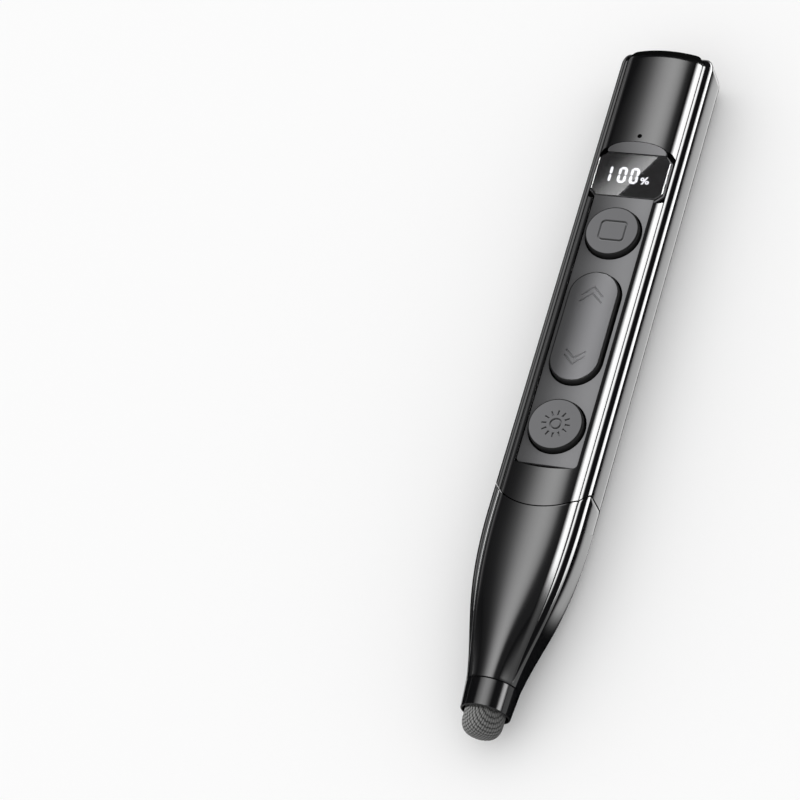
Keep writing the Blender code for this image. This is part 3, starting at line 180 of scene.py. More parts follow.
def piece_from(shape, name):
    """Turn a bmesh into an object, faces outwards."""
    bmesh.ops.recalc_face_normals(shape, faces=shape.faces)
    mesh = bpy.data.meshes.new(name)
    shape.to_mesh(mesh)
    shape.free()
    return add_object(name, mesh)


def bridge(shape, near, far, closed=True):
    """Faces between two rows of corners."""
    count = len(near)
    for index in range(count if closed else count - 1):
        after = (index + 1) % count
        shape.faces.new((near[index], near[after], far[after], far[index]))


def loft(name, rings, closed=False):
    """Skin rings of equal count, with a face over each end unless the last ring joins the first."""
    shape = bmesh.new()
    loops = [[shape.verts.new(point) for point in ring] for ring in rings]
    for near, far in zip(loops, loops[1:] + (loops[:1] if closed else [])):
        bridge(shape, near, far)
    if not closed:
        shape.faces.new(loops[0])
        shape.faces.new(loops[-1])
    return piece_from(shape, name)


def prism(name, outline, low, high, along="Z"):
    """Extrude a flat outline: XY for Z, XZ for Y, YZ for X."""
    order = {"Z": (0, 1, 2), "Y": (0, 2, 1), "X": (2, 0, 1)}[along]
    return loft(name, [[tuple((a, b, end)[k] for k in order) for a, b in outline] for end in (low, high)])


def box(name, low, high):
    """A block between two corners."""
    outline = [(low[0], low[1]), (high[0], low[1]), (high[0], high[1]), (low[0], high[1])]
    return prism(name, outline, low[2], high[2])


def circle(radius, centre=(0, 0), steps=96):
    """Points on a circle."""
    return [(centre[0] + radius * math.cos(2 * math.pi * k / steps),
             centre[1] + radius * math.sin(2 * math.pi * k / steps)) for k in range(steps)]


def turned(name, profile, place, towards, steps=128):
    """Spin a profile of (radius, height) points round an axis. One that starts off the axis is closed."""
    axis = Vector(towards)
    turn = axis.to_track_quat("Z", "Y").to_matrix()
    solid = profile[0][0] < 1e-9
    rings = [[tuple(Vector(place) + turn @ Vector((a, b, height))) for a, b in circle(radius, steps=steps)]
             for radius, height in profile if radius > 1e-9]
    return loft(name, rings, closed=not solid)


def plain(item):
    """Apply an object's modifiers and keep the result as its mesh."""
    depsgraph = bpy.context.evaluated_depsgraph_get()
    mesh = bpy.data.meshes.new_from_object(item.evaluated_get(depsgraph))
    item.modifiers.clear()
    item.data = mesh
    return item


def combined(item, others, operation):
    """Boolean with helpers, which are then removed."""
    for other in others:
        step = item.modifiers.new(other.name, "BOOLEAN")
        step.operation = operation
        step.object = other
        step.solver = "EXACT"
    bpy.context.view_layer.update()
    plain(item)
    for other in others:
        bpy.data.objects.remove(other, do_unlink=True)
    return item


def cut(item, *others):
    """Take helpers away."""
    return combined(item, others, "DIFFERENCE")


def joined(item, *others):
    """Fuse helpers on."""
    return combined(item, others, "UNION")


def soften(item, width, segments, choose, sharp=25):
    """Round the edges over an angle whose two ends choose() says yes to."""
    shape = bmesh.new()
    shape.from_mesh(item.data)
    bmesh.ops.remove_doubles(shape, verts=shape.verts, dist=2e-6)
    bmesh.ops.dissolve_degenerate(shape, dist=2e-6, edges=shape.edges)
    limit = math.radians(sharp)
    edges = [edge for edge in shape.edges if len(edge.link_faces) == 2
             and edge.calc_face_angle() > limit and choose(edge)]
    bmesh.ops.bevel(shape, geom=edges, offset=width, segments=segments, profile=0.5, affect="EDGES",
                    clamp_overlap=True)
    shape.to_mesh(item.data)
    shape.free()
    return item


def feed(tree, made, feeds):
    """Feed a node's inputs, by name or number, with values or with other nodes' outputs."""
    for socket, value in feeds.items():
        if isinstance(value, bpy.types.NodeSocket):
            tree.links.new(value, made.inputs[socket])
        else:
            made.inputs[socket].default_value = value


def add_node(tree, kind, feeds=None, **options):
    """Add a node with its options set and its inputs fed."""
    made = tree.nodes.new(kind)
    for name, value in options.items():
        setattr(made, name, value)
    feed(tree, made, feeds or {})
    return made


def new_tree(name, kind, inputs, outputs):
    """A node tree with named inputs and outputs, given with their kinds, and what its inputs put out."""
    tree = bpy.data.node_groups.new(name, kind)
    for way, sockets in (("INPUT", inputs), ("OUTPUT", outputs)):
        for label, sort in sockets.items():
            tree.interface.new_socket(label, in_out=way, socket_type="NodeSocket" + sort)
    return tree, add_node(tree, "NodeGroupInput").outputs


def finish_tree(tree, given, points, placing=None, centred=False):
    """Put the unit on each point, make it real and give it its finish."""
    unit = add_node(tree, "GeometryNodeObjectInfo", {"Object": given["Unit"]}).outputs["Geometry"]
    copies = add_node(tree, "GeometryNodeInstanceOnPoints", {
        "Points": points, "Instance": unit, **(placing or {})})
    last = add_node(tree, "GeometryNodeRealizeInstances", {"Geometry": copies.outputs["Instances"]})
    if centred:
        last = add_node(tree, "GeometryNodeTransform", {
            "Geometry": last.outputs["Geometry"], "Translation": given["Centre"]})
    last = add_node(tree, "GeometryNodeSetMaterial", {
        "Geometry": last.outputs["Geometry"], "Material": given["Finish"]})
    add_node(tree, "NodeGroupOutput", {"Geometry": last.outputs["Geometry"]})
    return tree


def row_tree():
    """Copies of a unit along a straight row."""
    tree, given = new_tree("row of units", "GeometryNodeTree", {
        "Unit": "Object", "Count": "Int", "Start": "Vector", "Step": "Vector", "Finish": "Material"},
        {"Geometry": "Geometry"})
    line = add_node(tree, "GeometryNodeMeshLine", {
        "Count": given["Count"], "Start Location": given["Start"], "Offset": given["Step"]})
    return finish_tree(tree, given, line.outputs["Mesh"])


def ring_tree():
    """Copies of a unit round a circle, each with its X axis pointing outwards."""
    tree, given = new_tree("ring of units", "GeometryNodeTree", {
        "Unit": "Object", "Count": "Int", "Radius": "Float", "Centre": "Vector", "Turn": "Float",
        "Finish": "Material"}, {"Geometry": "Geometry"})
    ring = add_node(tree, "GeometryNodeMeshCircle", {"Vertices": given["Count"], "Radius": given["Radius"]})
    swing = add_node(tree, "ShaderNodeCombineXYZ", {"Z": given["Turn"]})
    spin = add_node(tree, "GeometryNodeTransform", {
        "Geometry": ring.outputs["Mesh"], "Rotation": swing.outputs["Vector"]})
    where = add_node(tree, "GeometryNodeInputPosition").outputs["Position"]
    face = add_node(tree, "FunctionNodeAlignRotationToVector", {"Vector": where}, axis="X")
    return finish_tree(tree, given, spin.outputs["Geometry"], {"Rotation": face.outputs["Rotation"]}, True)


def grown(name, tree, unit, **values):
    """Run a tree on an empty mesh with its named inputs set, keep the result and drop the unit."""
    item = add_object(name, bpy.data.meshes.new(name))
    growth = item.modifiers.new(name, "NODES")
    growth.node_group = tree
    values["Unit"] = unit
    for socket in tree.interface.items_tree:
        if socket.in_out == "INPUT" and socket.name in values:
            growth[socket.identifier] = values[socket.name]
    bpy.context.view_layer.update()
    plain(item)
    bpy.data.objects.remove(unit, do_unlink=True)
    return item


def row_of(name, unit, count, start, step, finish=None):
    """A row of copies of a unit."""
    return grown(name, row_tree(), unit, Count=count, Start=start, Step=step, Finish=finish)


def ring_of(name, unit, count, radius, centre, turn, finish=None):
    """A ring of copies of a unit."""
    return grown(name, ring_tree(), unit, Count=count, Radius=radius, Centre=centre, Turn=turn, Finish=finish)


def shade(item, angle=35):
    """Smooth shading with creases past an angle."""
    item.data.shade_smooth()
    item.data.set_sharp_from_angle(angle=math.radians(angle))
    return item


def calm(item, angle=30):
    """Smooth shading that leaves the large flat faces flat, so that they mirror cleanly."""
    shade(item, angle)
    step = item.modifiers.new("calm", "WEIGHTED_NORMAL")
    step.keep_sharp = True
    step.weight = 100
    bpy.context.view_layer.update()
    return plain(item)


def table(items, name, width=1, kind=np.float32):
    """One property of many parts of a mesh, as an array."""
    values = np.zeros(len(items) * width, kind)
    items.foreach_get(name, values)
    return values.reshape(-1, width) if width > 1 else values


def true_normals(item, surface):
    """Give every corner on a known surface that surface's own normal, so long facets reflect cleanly."""
    mesh = item.data
    normals = table(mesh.corner_normals, "vector", 3)
    places = table(mesh.vertices, "co", 3, float)[table(mesh.loops, "vertex_index", kind=np.int32)]
    sizes = table(mesh.polygons, "loop_total", kind=np.int32)
    faces = np.repeat(table(mesh.polygons, "normal", 3), sizes, axis=0)
    exact, on_it = surface(places)
    facing = (faces * exact).sum(axis=1) > 0.62
    use = on_it & facing
    normals[use] = exact[use]
    mesh.normals_split_custom_set(normals.tolist())
    return item


# Section of the body

def arc(centre_x, centre_z, radius, start, end, steps):
    """Points on an arc, its angle taken from +Z towards +X."""
    angles = [start + (end - start) * index / steps for index in range(steps + 1)]
    return [(centre_x + radius * math.sin(angle), centre_z + radius * math.cos(angle)) for angle in angles]


def cover_half(inset, crown_steps=26, shoulder_steps=16):
    """Right half of the crown, from its top to the cover's edge."""
    crown = arc(0, CROWN_CENTRE_Z, CROWN_RADIUS - inset, 0, CROWN_TANGENT, crown_steps)
    return crown + arc(SHOULDER_X, SHOULDER_Z, SHOULDER_RADIUS - inset, CROWN_TANGENT, COVER_EDGE,
                       shoulder_steps)[1:]


def tub_half(inset, start_x, shoulder_steps=18, back_steps=18):
    """Right half of the tub, from its rim to the middle of the back."""
    half = BODY_HALF - inset
    top, back = max(TUB_SHOULDER - inset, 0.0001), max(TUB_BACK - inset, 0.0001)
    start = math.asin(min(max((start_x - half + top) / top, 0), 1))
    shoulder = arc(half - top, RIM_Z - inset - top, top, start, math.pi / 2, shoulder_steps)
    return shoulder + arc(half - back, inset + back, back, math.pi / 2, math.pi, back_steps) + [(0, inset)]


def whole(half):
    """Close a right half with its mirror."""
    return half + [(-x, z) for x, z in reversed(half[1:-1])]


def cover_surface(places):
    """Normal of the crown and its shoulders at each place, and which places are on them."""
    x, y, z = places[:, 0], places[:, 1], places[:, 2]
    side, reach = np.sign(x), np.abs(x)
    on_crown = reach < CROWN_RADIUS * math.sin(CROWN_TANGENT)
    centre_x = np.where(on_crown, 0, SHOULDER_X)
    centre_z = np.where(on_crown, CROWN_CENTRE_Z, SHOULDER_Z)
    radius = np.where(on_crown, CROWN_RADIUS, SHOULDER_RADIUS)
    across, up = reach - centre_x, z - centre_z
    length = np.hypot(across, up)
    exact = np.stack([side * across / length, np.zeros_like(x), up / length], axis=1)
    on_it = (np.abs(length - radius) < 6e-6) & (y < ROUND_START_Y + 1e-6) & (up > 0)
    return exact.astype(np.float32), on_it


def tub_surface(places):
    """Normal of the tub's shoulders, flanks and back at each place, and which places are on them."""
    x, y, z = places[:, 0], places[:, 1], places[:, 2]
    side, reach = np.sign(x), np.abs(x)
    top_z = RIM_Z - TUB_SHOULDER
    high, low = z > top_z, z < TUB_BACK
    radius = np.where(high, TUB_SHOULDER, TUB_BACK)
    centre_x = BODY_HALF - radius
    across = np.where(high | low, np.maximum(reach - centre_x, 0), 1)
    up = np.where(high, z - top_z, np.where(low, z - TUB_BACK, 0))
    length = np.maximum(np.hypot(across, up), 1e-9)
    exact = np.stack([side * across / length, np.zeros_like(x), up / length], axis=1)
    flank = ~high & ~low
    near = np.where(flank, np.abs(reach - BODY_HALF), np.abs(length - radius))
    return exact.astype(np.float32), (near < 6e-6) & (y < ROUND_START_Y + 1e-6)


def body_stations():
    """Stations from past the parting line to the rounded tail, each with its inset."""
    turns = [math.pi / 2 * k / 18 for k in range(19)]
    return [(PARTING_Y - PAST, 0)] + [
        (ROUND_START_Y + TAIL_RUN * math.sin(turn), TAIL_EDGE * (1 - math.cos(turn))) for turn in turns]


def drum_cutter(name, radius=DRUM_RADIUS):
    """What lies on the nose's side of the curved parting line."""
    edge = DRUM_RADIUS + 2 * BODY_HALF
    curve = arc(0, DRUM_Y, radius, math.pi * 3 / 2, math.pi / 2, 161)
    outline = curve + [(edge, DRUM_Y), (edge, TIP_Y), (-edge, TIP_Y), (-edge, DRUM_Y)]
    return prism(name, outline, -PAST, KEY_TOP_Z + PAST)


# Outlines

def stadium(margin, steps=48):
    """The rocker's outline, grown by a margin."""
    radius = ROCKER_WIDTH / 2 + margin
    run = (ROCKER_LENGTH - ROCKER_WIDTH) / 2
    return (arc(0, ROCKER_Y + run, radius, -math.pi / 2, math.pi / 2, steps)
            + arc(0, ROCKER_Y - run, radius, math.pi / 2, math.pi * 3 / 2, steps))


def window_outline(margin, fillet=0.0, clip=WINDOW_CHAMFER):
    """The eight-sided window's outline, grown by a margin, its corners clipped and rounded by a fillet."""
    half_x, half_y = WINDOW_HALF_X + margin, WINDOW_HALF_Y + margin
    chamfer = clip + margin * (2 - math.sqrt(2))
    corners = [(half_x - chamfer, half_y), (half_x, half_y - chamfer),
               (half_x, chamfer - half_y), (half_x - chamfer, -half_y)]
    corners += [(-x, y) for x, y in reversed(corners)]
    if fillet:
        corners = rounded(corners, fillet)
    return [(x, DISPLAY_Y + y) for x, y in corners]


def rounded(corners, radius, steps=6):
    """Round every corner of a convex outline."""
    points = []
    count = len(corners)
    for index, corner in enumerate(corners):
        here = Vector(corner)
        before = (Vector(corners[index - 1]) - here).normalized()
        after = (Vector(corners[(index + 1) % count]) - here).normalized()
        half = before.angle(after) / 2
        reach = radius / math.tan(half)
        centre = here + (before + after).normalized() * (radius / math.sin(half))
        start, end = here + before * reach - centre, here + after * reach - centre
        first = math.atan2(start.y, start.x)
        sweep = (math.atan2(end.y, end.x) - first + math.pi) % (2 * math.pi) - math.pi
        for step in range(steps + 1):
            angle = first + sweep * step / steps
            points.append((centre.x + radius * math.cos(angle), centre.y + radius * math.sin(angle)))
    return points


def crown_z(x):
    """Height of the crown."""
    return CROWN_CENTRE_Z + math.sqrt(CROWN_RADIUS ** 2 - x ** 2)


def lower_reach(x):
    """How far the recess runs past the lower fold before it comes out at the crown."""
    return LOWER_RAMP * (crown_z(x) - PANEL_Z) / PANEL_DROP


def straight_reach(x):
    """The panel itself ends on a straight line inside the recess, with round corners."""
    corner = max((abs(x) - PANEL_HALF) / PANEL_CORNER + 1, 0)
    return PANEL_END - PANEL_CORNER * (1 - math.sqrt(max(1 - corner ** 2, 0)))


def upper_curve(steps=64):
    """The upper ramp's edge: nearly straight across, with round corners, from right to left."""
    points = []
    for index in range(steps + 1):
        turn = math.pi * (0.5 - index / steps)
        x = math.copysign(PANEL_HALF * abs(math.sin(turn)) ** 0.77, turn)
        points.append((x, UPPER_RAMP * max(math.cos(turn), 0) ** 0.9))
    return points


def panel_outline(margin, reach):
    """The panel or its recess in plan, grown by a margin, its lower end given by reach."""
    places = [PANEL_HALF * math.cos(math.pi * index / 72) for index in range(73)]
    lower = [(x, LOWER_FOLD_Y - reach(x) - margin) for x in places]
    upper = [(x, UPPER_FOLD_Y + run + margin) for x, run in reversed(upper_curve())]
    spread = (PANEL_HALF + margin) / PANEL_HALF
    return [(x * spread, y) for x, y in lower + upper]


# Shells

def lies_on(surface, edge):
    """Both ends of an edge are on a known surface."""
    return bool(surface(np.array([vert.co[:] for vert in edge.verts]))[1].all())


def in_recess(place):
    """A place is well below the crown, on a wall or a floor that is cut into the cover."""
    reach = abs(place.x)
    if reach < CROWN_RADIUS * math.sin(CROWN_TANGENT):
        depth = CROWN_RADIUS - math.hypot(reach, place.z - CROWN_CENTRE_Z)
    else:
        depth = SHOULDER_RADIUS - math.hypot(reach - SHOULDER_X, place.z - SHOULDER_Z)
    return on_parting(place) or (depth > 0.00005 and place.z > POCKET_Z - PAST and reach < 0.0079)


def on_parting(place):
    """A place is on the curved face of the parting line, or on the edge next to it."""
    return place.y < DRUM_Y and abs(math.hypot(place.x, place.y - DRUM_Y) - DRUM_RADIUS - SEAM / 2) < 0.00016


def soften_rims(item, choose):
    """Round a shell's edges, very finely along the parting line."""
    for width, segments, parting in ((RIM_EDGE, 3, False), (PARTING_EDGE, 2, True)):
        soften(item, width, segments, lambda edge: choose(edge) and parting == all(
            on_parting(vert.co) for vert in edge.verts))
    return item


def over_display(name, half_x, half_y, low, high):
    """A block centred on the display."""
    return box(name, (-half_x, DISPLAY_Y - half_y, low), (half_x, DISPLAY_Y + half_y, high))


def key_openings(low, high):
    """Cutters for the three keys and for the light of the display."""
    radius = KEY_RADIUS + KEY_GAP
    return (prism("function_hole", circle(radius, (0, FUNCTION_KEY_Y)), low, high),
            prism("laser_hole", circle(radius, (0, LASER_KEY_Y)), low, high),
            prism("rocker_hole", stadium(KEY_GAP), max(low, DECK_BOTTOM_Z - SEAM), high),
            over_display("lamp_opening", *LAMP_OPENING, low, high))


def make_front_cover():
    """The crowned cover with its recess, window notch, key holes and light hole."""
    rings = []
    for y, inset in body_stations():
        half = cover_half(inset)
        half += [(half[-1][0], SKIRT_Z), (0, SKIRT_Z)]
        rings.append([(x, y, z) for x, z in whole(half)])
    cover = loft("cover_shell", rings)
    skirt_end = TAIL_WALL_Y - SEAM
    inner = COVER_HALF - SKIRT
    low, high = SKIRT_Z - PAST, TOP_Z + PAST
    room = cover_half(WALL, 10, 6)
    room += [(room[-1][0], low), (0, low)]
    cut(cover, drum_cutter("cover_parting"),
        box("tail_lip", (-2 * BODY_HALF, skirt_end, -PAST), (2 * BODY_HALF, TAIL_Y + PAST, RIM_Z + SEAM)),
        box("under_deck", (-inner, UNDER_DECK_Y, low), (inner, skirt_end - SKIRT, DECK_BOTTOM_Z)),
        prism("crown_room", whole(room), UPPER_FOLD_Y + UPPER_RAMP + SEAM + WALL, skirt_end - SKIRT, "Y"),
        prism("spigot_room", nose_section(PARTING_Y, WALL, 0), PARTING_Y - 2 * PAST, SPIGOT_ROOM_Y, "Y"),
        prism("panel_recess", panel_outline(RECESS_MARGIN, lower_reach), DECK_Z, high),
        prism("window_pocket", window_outline(*POCKET_SHAPE), POCKET_Z, high),
        *key_openings(low, high),
        prism("light_hole", circle(LIGHT_HOLE_RADIUS, (0, LIGHT_Y), 40), low, high))
    soften_rims(cover, lambda edge: lies_on(cover_surface, edge))
    return true_normals(shade(cover), cover_surface)


def make_rear_shell():
    """The tub: round back, flanks, tail wall, and the mouths of the charging socket and the laser."""
    rings = [[(x, y, z) for x, z in whole([(0, RIM_Z - inset)] + tub_half(inset, 0))]
             for y, inset in body_stations()]
    tub = loft("tub_shell", rings)
    back = TUB_BACK - WALL
    hollow = [(0, KEY_TOP_Z), (MOUTH_HALF, KEY_TOP_Z), (MOUTH_HALF, SKIRT_Z), (CAVITY_HALF, SKIRT_Z - SEAM)]
    hollow += arc(CAVITY_HALF - back, WALL + back, back, math.pi / 2, math.pi, 12) + [(0, WALL)]
    (near_y, low_z), (far_y, high_z) = PORT_LOW, PORT_HIGH
    port = rounded([(near_y, low_z), (far_y, low_z), (far_y, high_z), (near_y, high_z)], PORT_RADIUS, 12)
    cut(tub, prism("tub_hollow", whole(hollow), PARTING_Y - 2 * PAST, TAIL_WALL_Y, "Y"),
        drum_cutter("tub_parting"),
        prism("laser_aperture", circle(APERTURE_RADIUS, (0, AXIS_Z)), TAIL_WALL_Y - PAST, TAIL_Y + PAST, "Y"),
        prism("laser_window_seat", circle(LASER_SEAT_RADIUS, (0, AXIS_Z)), TAIL_Y - LASER_SEAT_DEPTH,
              TAIL_Y + PAST, "Y"),
        prism("charge_mouth", port, -BODY_HALF - PAST, PAST - CAVITY_HALF, "X"))

    def rims(edge):
        """Edges of the outside, with the window's seat in the tail."""
        tail = all(abs(vert.co.y - TAIL_Y) < 2e-6 for vert in edge.verts)
        return lies_on(tub_surface, edge) or tail
    soften_rims(tub, rims)
    return true_normals(shade(tub), tub_surface)


# Nose

def taper_share(y):
    """How far the nose has gone from the body's section, 0, to the round end, 1."""
    reach = min(max((PARTING_Y - y) / (PARTING_Y - NOSE_END_Y), 0), 1)
    low, high = 0.0, 1.0
    for _ in range(40):
        step = (low + high) / 2
        along = 3 * (1 - step) ** 2 * step * 0.55 + 3 * (1 - step) * step ** 2 * 0.70 + step ** 3
        low, high = (step, high) if along < reach else (low, step)
    return 3 * (1 - low) * low ** 2 * 0.70 + low ** 3


def nose_half(y, inset, groove):
    """Right half of the nose's section: crown, the groove that parts it from the tub, and tub."""
    share = taper_share(y)
    cover, tub = cover_half(inset), tub_half(inset, MOUTH_HALF)
    points = [(x, z, 0) for x, z in cover]
    if groove:
        lip = 0.00005
        (near_x, near_z), (far_x, far_z) = cover[-1], tub[0]
        points[-1] = (near_x - lip * 0.3, near_z + lip * 0.2, 0)
        points += [(near_x + lip * 0.3, near_z - lip * 0.4, lip * 0.6),
                   (near_x + lip * 0.6, near_z, groove * 0.9),
                   ((near_x + far_x) / 2, (near_z + far_z) / 2, groove),
                   (far_x - lip * 0.6, far_z, groove * 0.9),
                   (far_x - lip * 0.3, far_z - lip * 0.2, lip * 0.6)]
        tub[0] = (far_x + lip * 0.3, far_z - lip * 0.02)
    points += [(x, z, 0) for x, z in tub]
    half = []
    for x, z, depth in points:
        reach = math.hypot(x, z - AXIS_Z)
        blended = reach + (NOSE_END_RADIUS - inset - reach) * share - depth * (1 - share)
        half.append((x * blended / reach, AXIS_Z + (z - AXIS_Z) * blended / reach))
    return half


def nose_section(y, inset, groove):
    """The nose's whole section."""
    return whole(nose_half(y, inset, groove))


def nose_rings():
    """Rings of the hollow nose: outside, mouth, inside, bore and front, closing on the first."""
    groove, lip, last_straight = 0.00045, PARTING_EDGE, PARTING_Y - 0.001
    rings = []

    def mouth(x):
        """Where the curved mouth is."""
        return DRUM_Y - math.sqrt((DRUM_RADIUS + SEAM) ** 2 - x ** 2)
    for k in range(5):
        angle = math.pi / 2 * k / 4
        inset = lip * (1 - math.sin(angle))
        rings.append([(x, NOSE_END_Y + lip * (1 - math.cos(angle)), z)
                      for x, z in nose_section(NOSE_END_Y, inset, groove)])
    stations = [NOSE_END_Y + (last_straight - NOSE_END_Y) * k / 90 for k in range(1, 91)]
    rings += [[(x, y, z) for x, z in nose_section(y, 0, groove)] for y in stations]
    for k in range(1, 9):
        share = k / 8
        rings.append([(x, last_straight * (1 - share) + (mouth(x) - lip) * share, z)
                      for x, z in nose_section(PARTING_Y, 0, groove)])
    for k in range(1, 5):
        angle = math.pi / 2 * k / 4
        rings.append([(x, mouth(x) - lip * (1 - math.sin(angle)), z)
                      for x, z in nose_section(PARTING_Y, lip * (1 - math.cos(angle)), groove)])
    rings.append([(x, mouth(x), z) for x, z in nose_section(PARTING_Y, WALL, 1e-6)])
    stations = [PARTING_Y + (NOSE_HOLLOW_END_Y - PARTING_Y) * k / 24 for k in range(1, 25)]
    rings += [[(x, y, z) for x, z in nose_section(y, WALL, 1e-6)] for y in stations]
    last = rings[-1]
    turn = [math.atan2(x, z - AXIS_Z) for x, _, z in last]
    rings += [[(STEM_BORE * math.sin(a), y, AXIS_Z + STEM_BORE * math.cos(a)) for a in turn]
              for y in (NOSE_HOLLOW_END_Y, NOSE_END_Y)]
    return rings


def make_nose():
    """The hollow nose in two pieces that meet in the groove: its crown and its tub."""
    rings = nose_rings()
    count = len(rings[0])
    split = len(cover_half(0)) + 2
    crown = [k % count for k in range(-split, split + 1)]
    tub = list(range(split, count - split + 1))
    made = []
    for name, columns in (("nose_crown", crown), ("nose_tub", tub)):
        shape = bmesh.new()
        grid = [[shape.verts.new(ring[k]) for k in columns] for ring in rings]
        for near, far in zip(grid, grid[1:] + grid[:1]):
            bridge(shape, near, far, False)
        for side in (0, -1):
            shape.faces.new([row[side] for row in grid])
        made.append(shade(piece_from(shape, name)))
    return made


# Panel, window and keys

def panel_air():
    """What is above the panel: flat over its face, then up the ruled ramp to the crown."""
    above = TOP_Z + 2 * PAST
    front = LOWER_FOLD_Y - 2 * LOWER_RAMP
    stations = [(x, max(run, 0.00001)) for x, run in upper_curve(56)]
    outer = PANEL_HALF + SEAM
    stations = [(outer, 0.00001)] + stations + [(-outer, 0.00001)]
    rings = []
    for x, run in stations:
        end_y = UPPER_FOLD_Y + run * 1.5
        end_z = PANEL_Z + (crown_z(x) - PANEL_Z) * 1.5
        rings.append([(x, front, PANEL_Z), (x, UPPER_FOLD_Y, PANEL_Z), (x, end_y, end_z), (x, end_y, above),
                      (x, front, above)])
    return loft("air", rings)


def make_control_panel():
    """The matte inlay with its ramp above the window, and the window's tray."""
    panel = prism("panel_inlay", panel_outline(0, straight_reach), PANEL_BOTTOM_Z, TOP_Z + SEAM)
    above = TOP_Z + PAST
    half_x, half_y, tongue_z = TONGUE
    joined(panel, over_display("tongue", half_x, half_y, TRAY_BOTTOM_Z, tongue_z),
           prism("tray", window_outline(TRAY_MARGIN), TRAY_BOTTOM_Z, TRAY_TOP_Z))
    cut(panel, panel_air(), prism("window_seat", window_outline(SEAT_MARGIN), TRAY_TOP_Z, above),
        *key_openings(DECK_BOTTOM_Z, above))

    def top_rims(edge):
        """Edges of the panel's top face."""
        return all(vert.co.z > PANEL_Z - 1e-6 and vert.co.y < UPPER_FOLD_Y - SEAM for vert in edge.verts)
    soften(panel, 0.00007, 2, top_rims, 40)
    return calm(panel)


def make_window():
    """The eight-sided smoked window, its edge ground to a fine bevel."""
    window = prism("window_pane", window_outline(0, 0.0002), PANEL_Z - WINDOW_THICKNESS, PANEL_Z)
    soften(window, WINDOW_BEVEL, 1, lambda edge: all(vert.co.z > PANEL_Z - 1e-6 for vert in edge.verts), 40)
    return calm(window, 20)


def make_window_mask():
    """The black print under the window, open over the digits."""
    mask = prism("window_mask", window_outline(-0.0001, 0.0002), MASK_Z, MASK_Z + 0.0001)
    return shade(cut(mask, over_display("digit_opening", *DIGIT_OPENING, MASK_Z - PAST, MASK_Z + PAST)))


def segment(centre, length, upright):
    """One bar of a digit, pointed at both ends."""
    half, run = SEGMENT / 2, length / 2
    straight = run - half
    outline = [(-run, 0), (-straight, -half), (straight, -half),
               (run, 0), (straight, half), (-straight, half)]
    if upright:
        outline = [(-y, x) for x, y in outline]
    return [(centre[0] + x, centre[1] + y) for x, y in outline]


def digit_bars(centre, lit, tallness=1.0):
    """Outlines of the lit bars of one digit, named as on any seven-bar digit."""
    across, up = (DIGIT_WIDTH - SEGMENT) / 2, (DIGIT_HEIGHT * tallness - SEGMENT) / 4
    x, y = centre
    wide, tall = 2 * across - 0.00004, 2 * up - 0.00004
    bars = {"a": ((x, y + 2 * up), wide, False), "b": ((x + across, y + up), tall, True),
            "c": ((x + across, y - up), tall, True), "d": ((x, y - 2 * up), wide, False),
            "e": ((x - across, y - up), tall, True), "f": ((x - across, y + up), tall, True)}
    return [segment(*bars[name]) for name in lit]


def make_digits():
    """The lit reading under the window: 100 and a small per-cent sign."""
    outlines = digit_bars((-0.00516, 0.04511), "bc", 1.09)
    outlines += digit_bars((-0.00198, 0.04506), "abcdef") + digit_bars((0.00057, 0.04508), "abcdef")
    outlines.append([(0.00236, 0.04328), (0.00270, 0.04328), (0.00356, 0.04504), (0.00322, 0.04504)])
    bars = [prism("bar", outline, DIGIT_Z, DIGIT_Z + 0.00005) for outline in outlines]
    profile = [(0.00042, 0), (0.00042, 0.00005), (0.00016, 0.00005), (0.00016, 0)]
    for place in ((0.00245, 0.04445, DIGIT_Z), (0.00354, 0.04377, DIGIT_Z)):
        bars.append(turned("loop", profile, place, (0, 0, 1), 24))
    shape = bmesh.new()
    for bar in bars:
        shape.from_mesh(bar.data)
        bpy.data.objects.remove(bar, do_unlink=True)
    return piece_from(shape, "lit_digits")


def groove(name, path, closed, width=SIGN_WIDTH, floor=0.00004, depth=SIGN_DEPTH):
    """A cutter for an engraved line: wide at the key's face, narrow at its floor."""
    points = [Vector(point) for point in path]
    count = len(points)
    rows = []
    for index, here in enumerate(points):
        if closed:
            before, after = points[index - 1], points[(index + 1) % count]
        else:
            before, after = points[max(index - 1, 0)], points[min(index + 1, count - 1)]
        ahead = (after - here).normalized() if after != here else (here - before).normalized()
        behind = (here - before).normalized() if before != here else ahead
        along = (ahead + behind).normalized()
        side = Vector((-along.y, along.x)) / max(along.dot(ahead), 0.3)
        push = 0 if closed else (index == count - 1) - (index == 0)
        row = []
        for half, height in ((width / 2, PAST), (width / 2, 0), (floor / 2, -depth)):
            spot = here + along * push * half
            row += [(spot + side * half, height), (spot - side * half, height)]
        rows.append([(row[k][0].x, row[k][0].y, KEY_TOP_Z + row[k][1]) for k in (0, 2, 4, 5, 3, 1)])
    return loft(name, rows, closed)


def two_tone(item, top, wall, in_painted_shade):
    """Paint a piece in one finish, and the faces that in_painted_shade() picks in another, a black that
    stands for shade.
    """
    item.data.materials.clear()
    item.data.materials.append(MATERIALS[top])
    item.data.materials.append(MATERIALS[wall])
    for face in item.data.polygons:
        face.material_index = 1 if in_painted_shade(face.center) else 0
    return item


def key_wall_shade(centre_y, radius, run):
    """Picks the faces of a key that are painted black as shade: what is past the middle of its rounded edge,
    and below its signs.
    """
    def in_painted_shade(place):
        """Whether a face at a place is wall, painted black as shade."""
        reach = math.hypot(place.x, max(abs(place.y - centre_y) - run, 0))
        return reach > radius - KEY_EDGE * 0.95 or place.z < KEY_TOP_Z - SIGN_DEPTH - KEY_EDGE
    return in_painted_shade


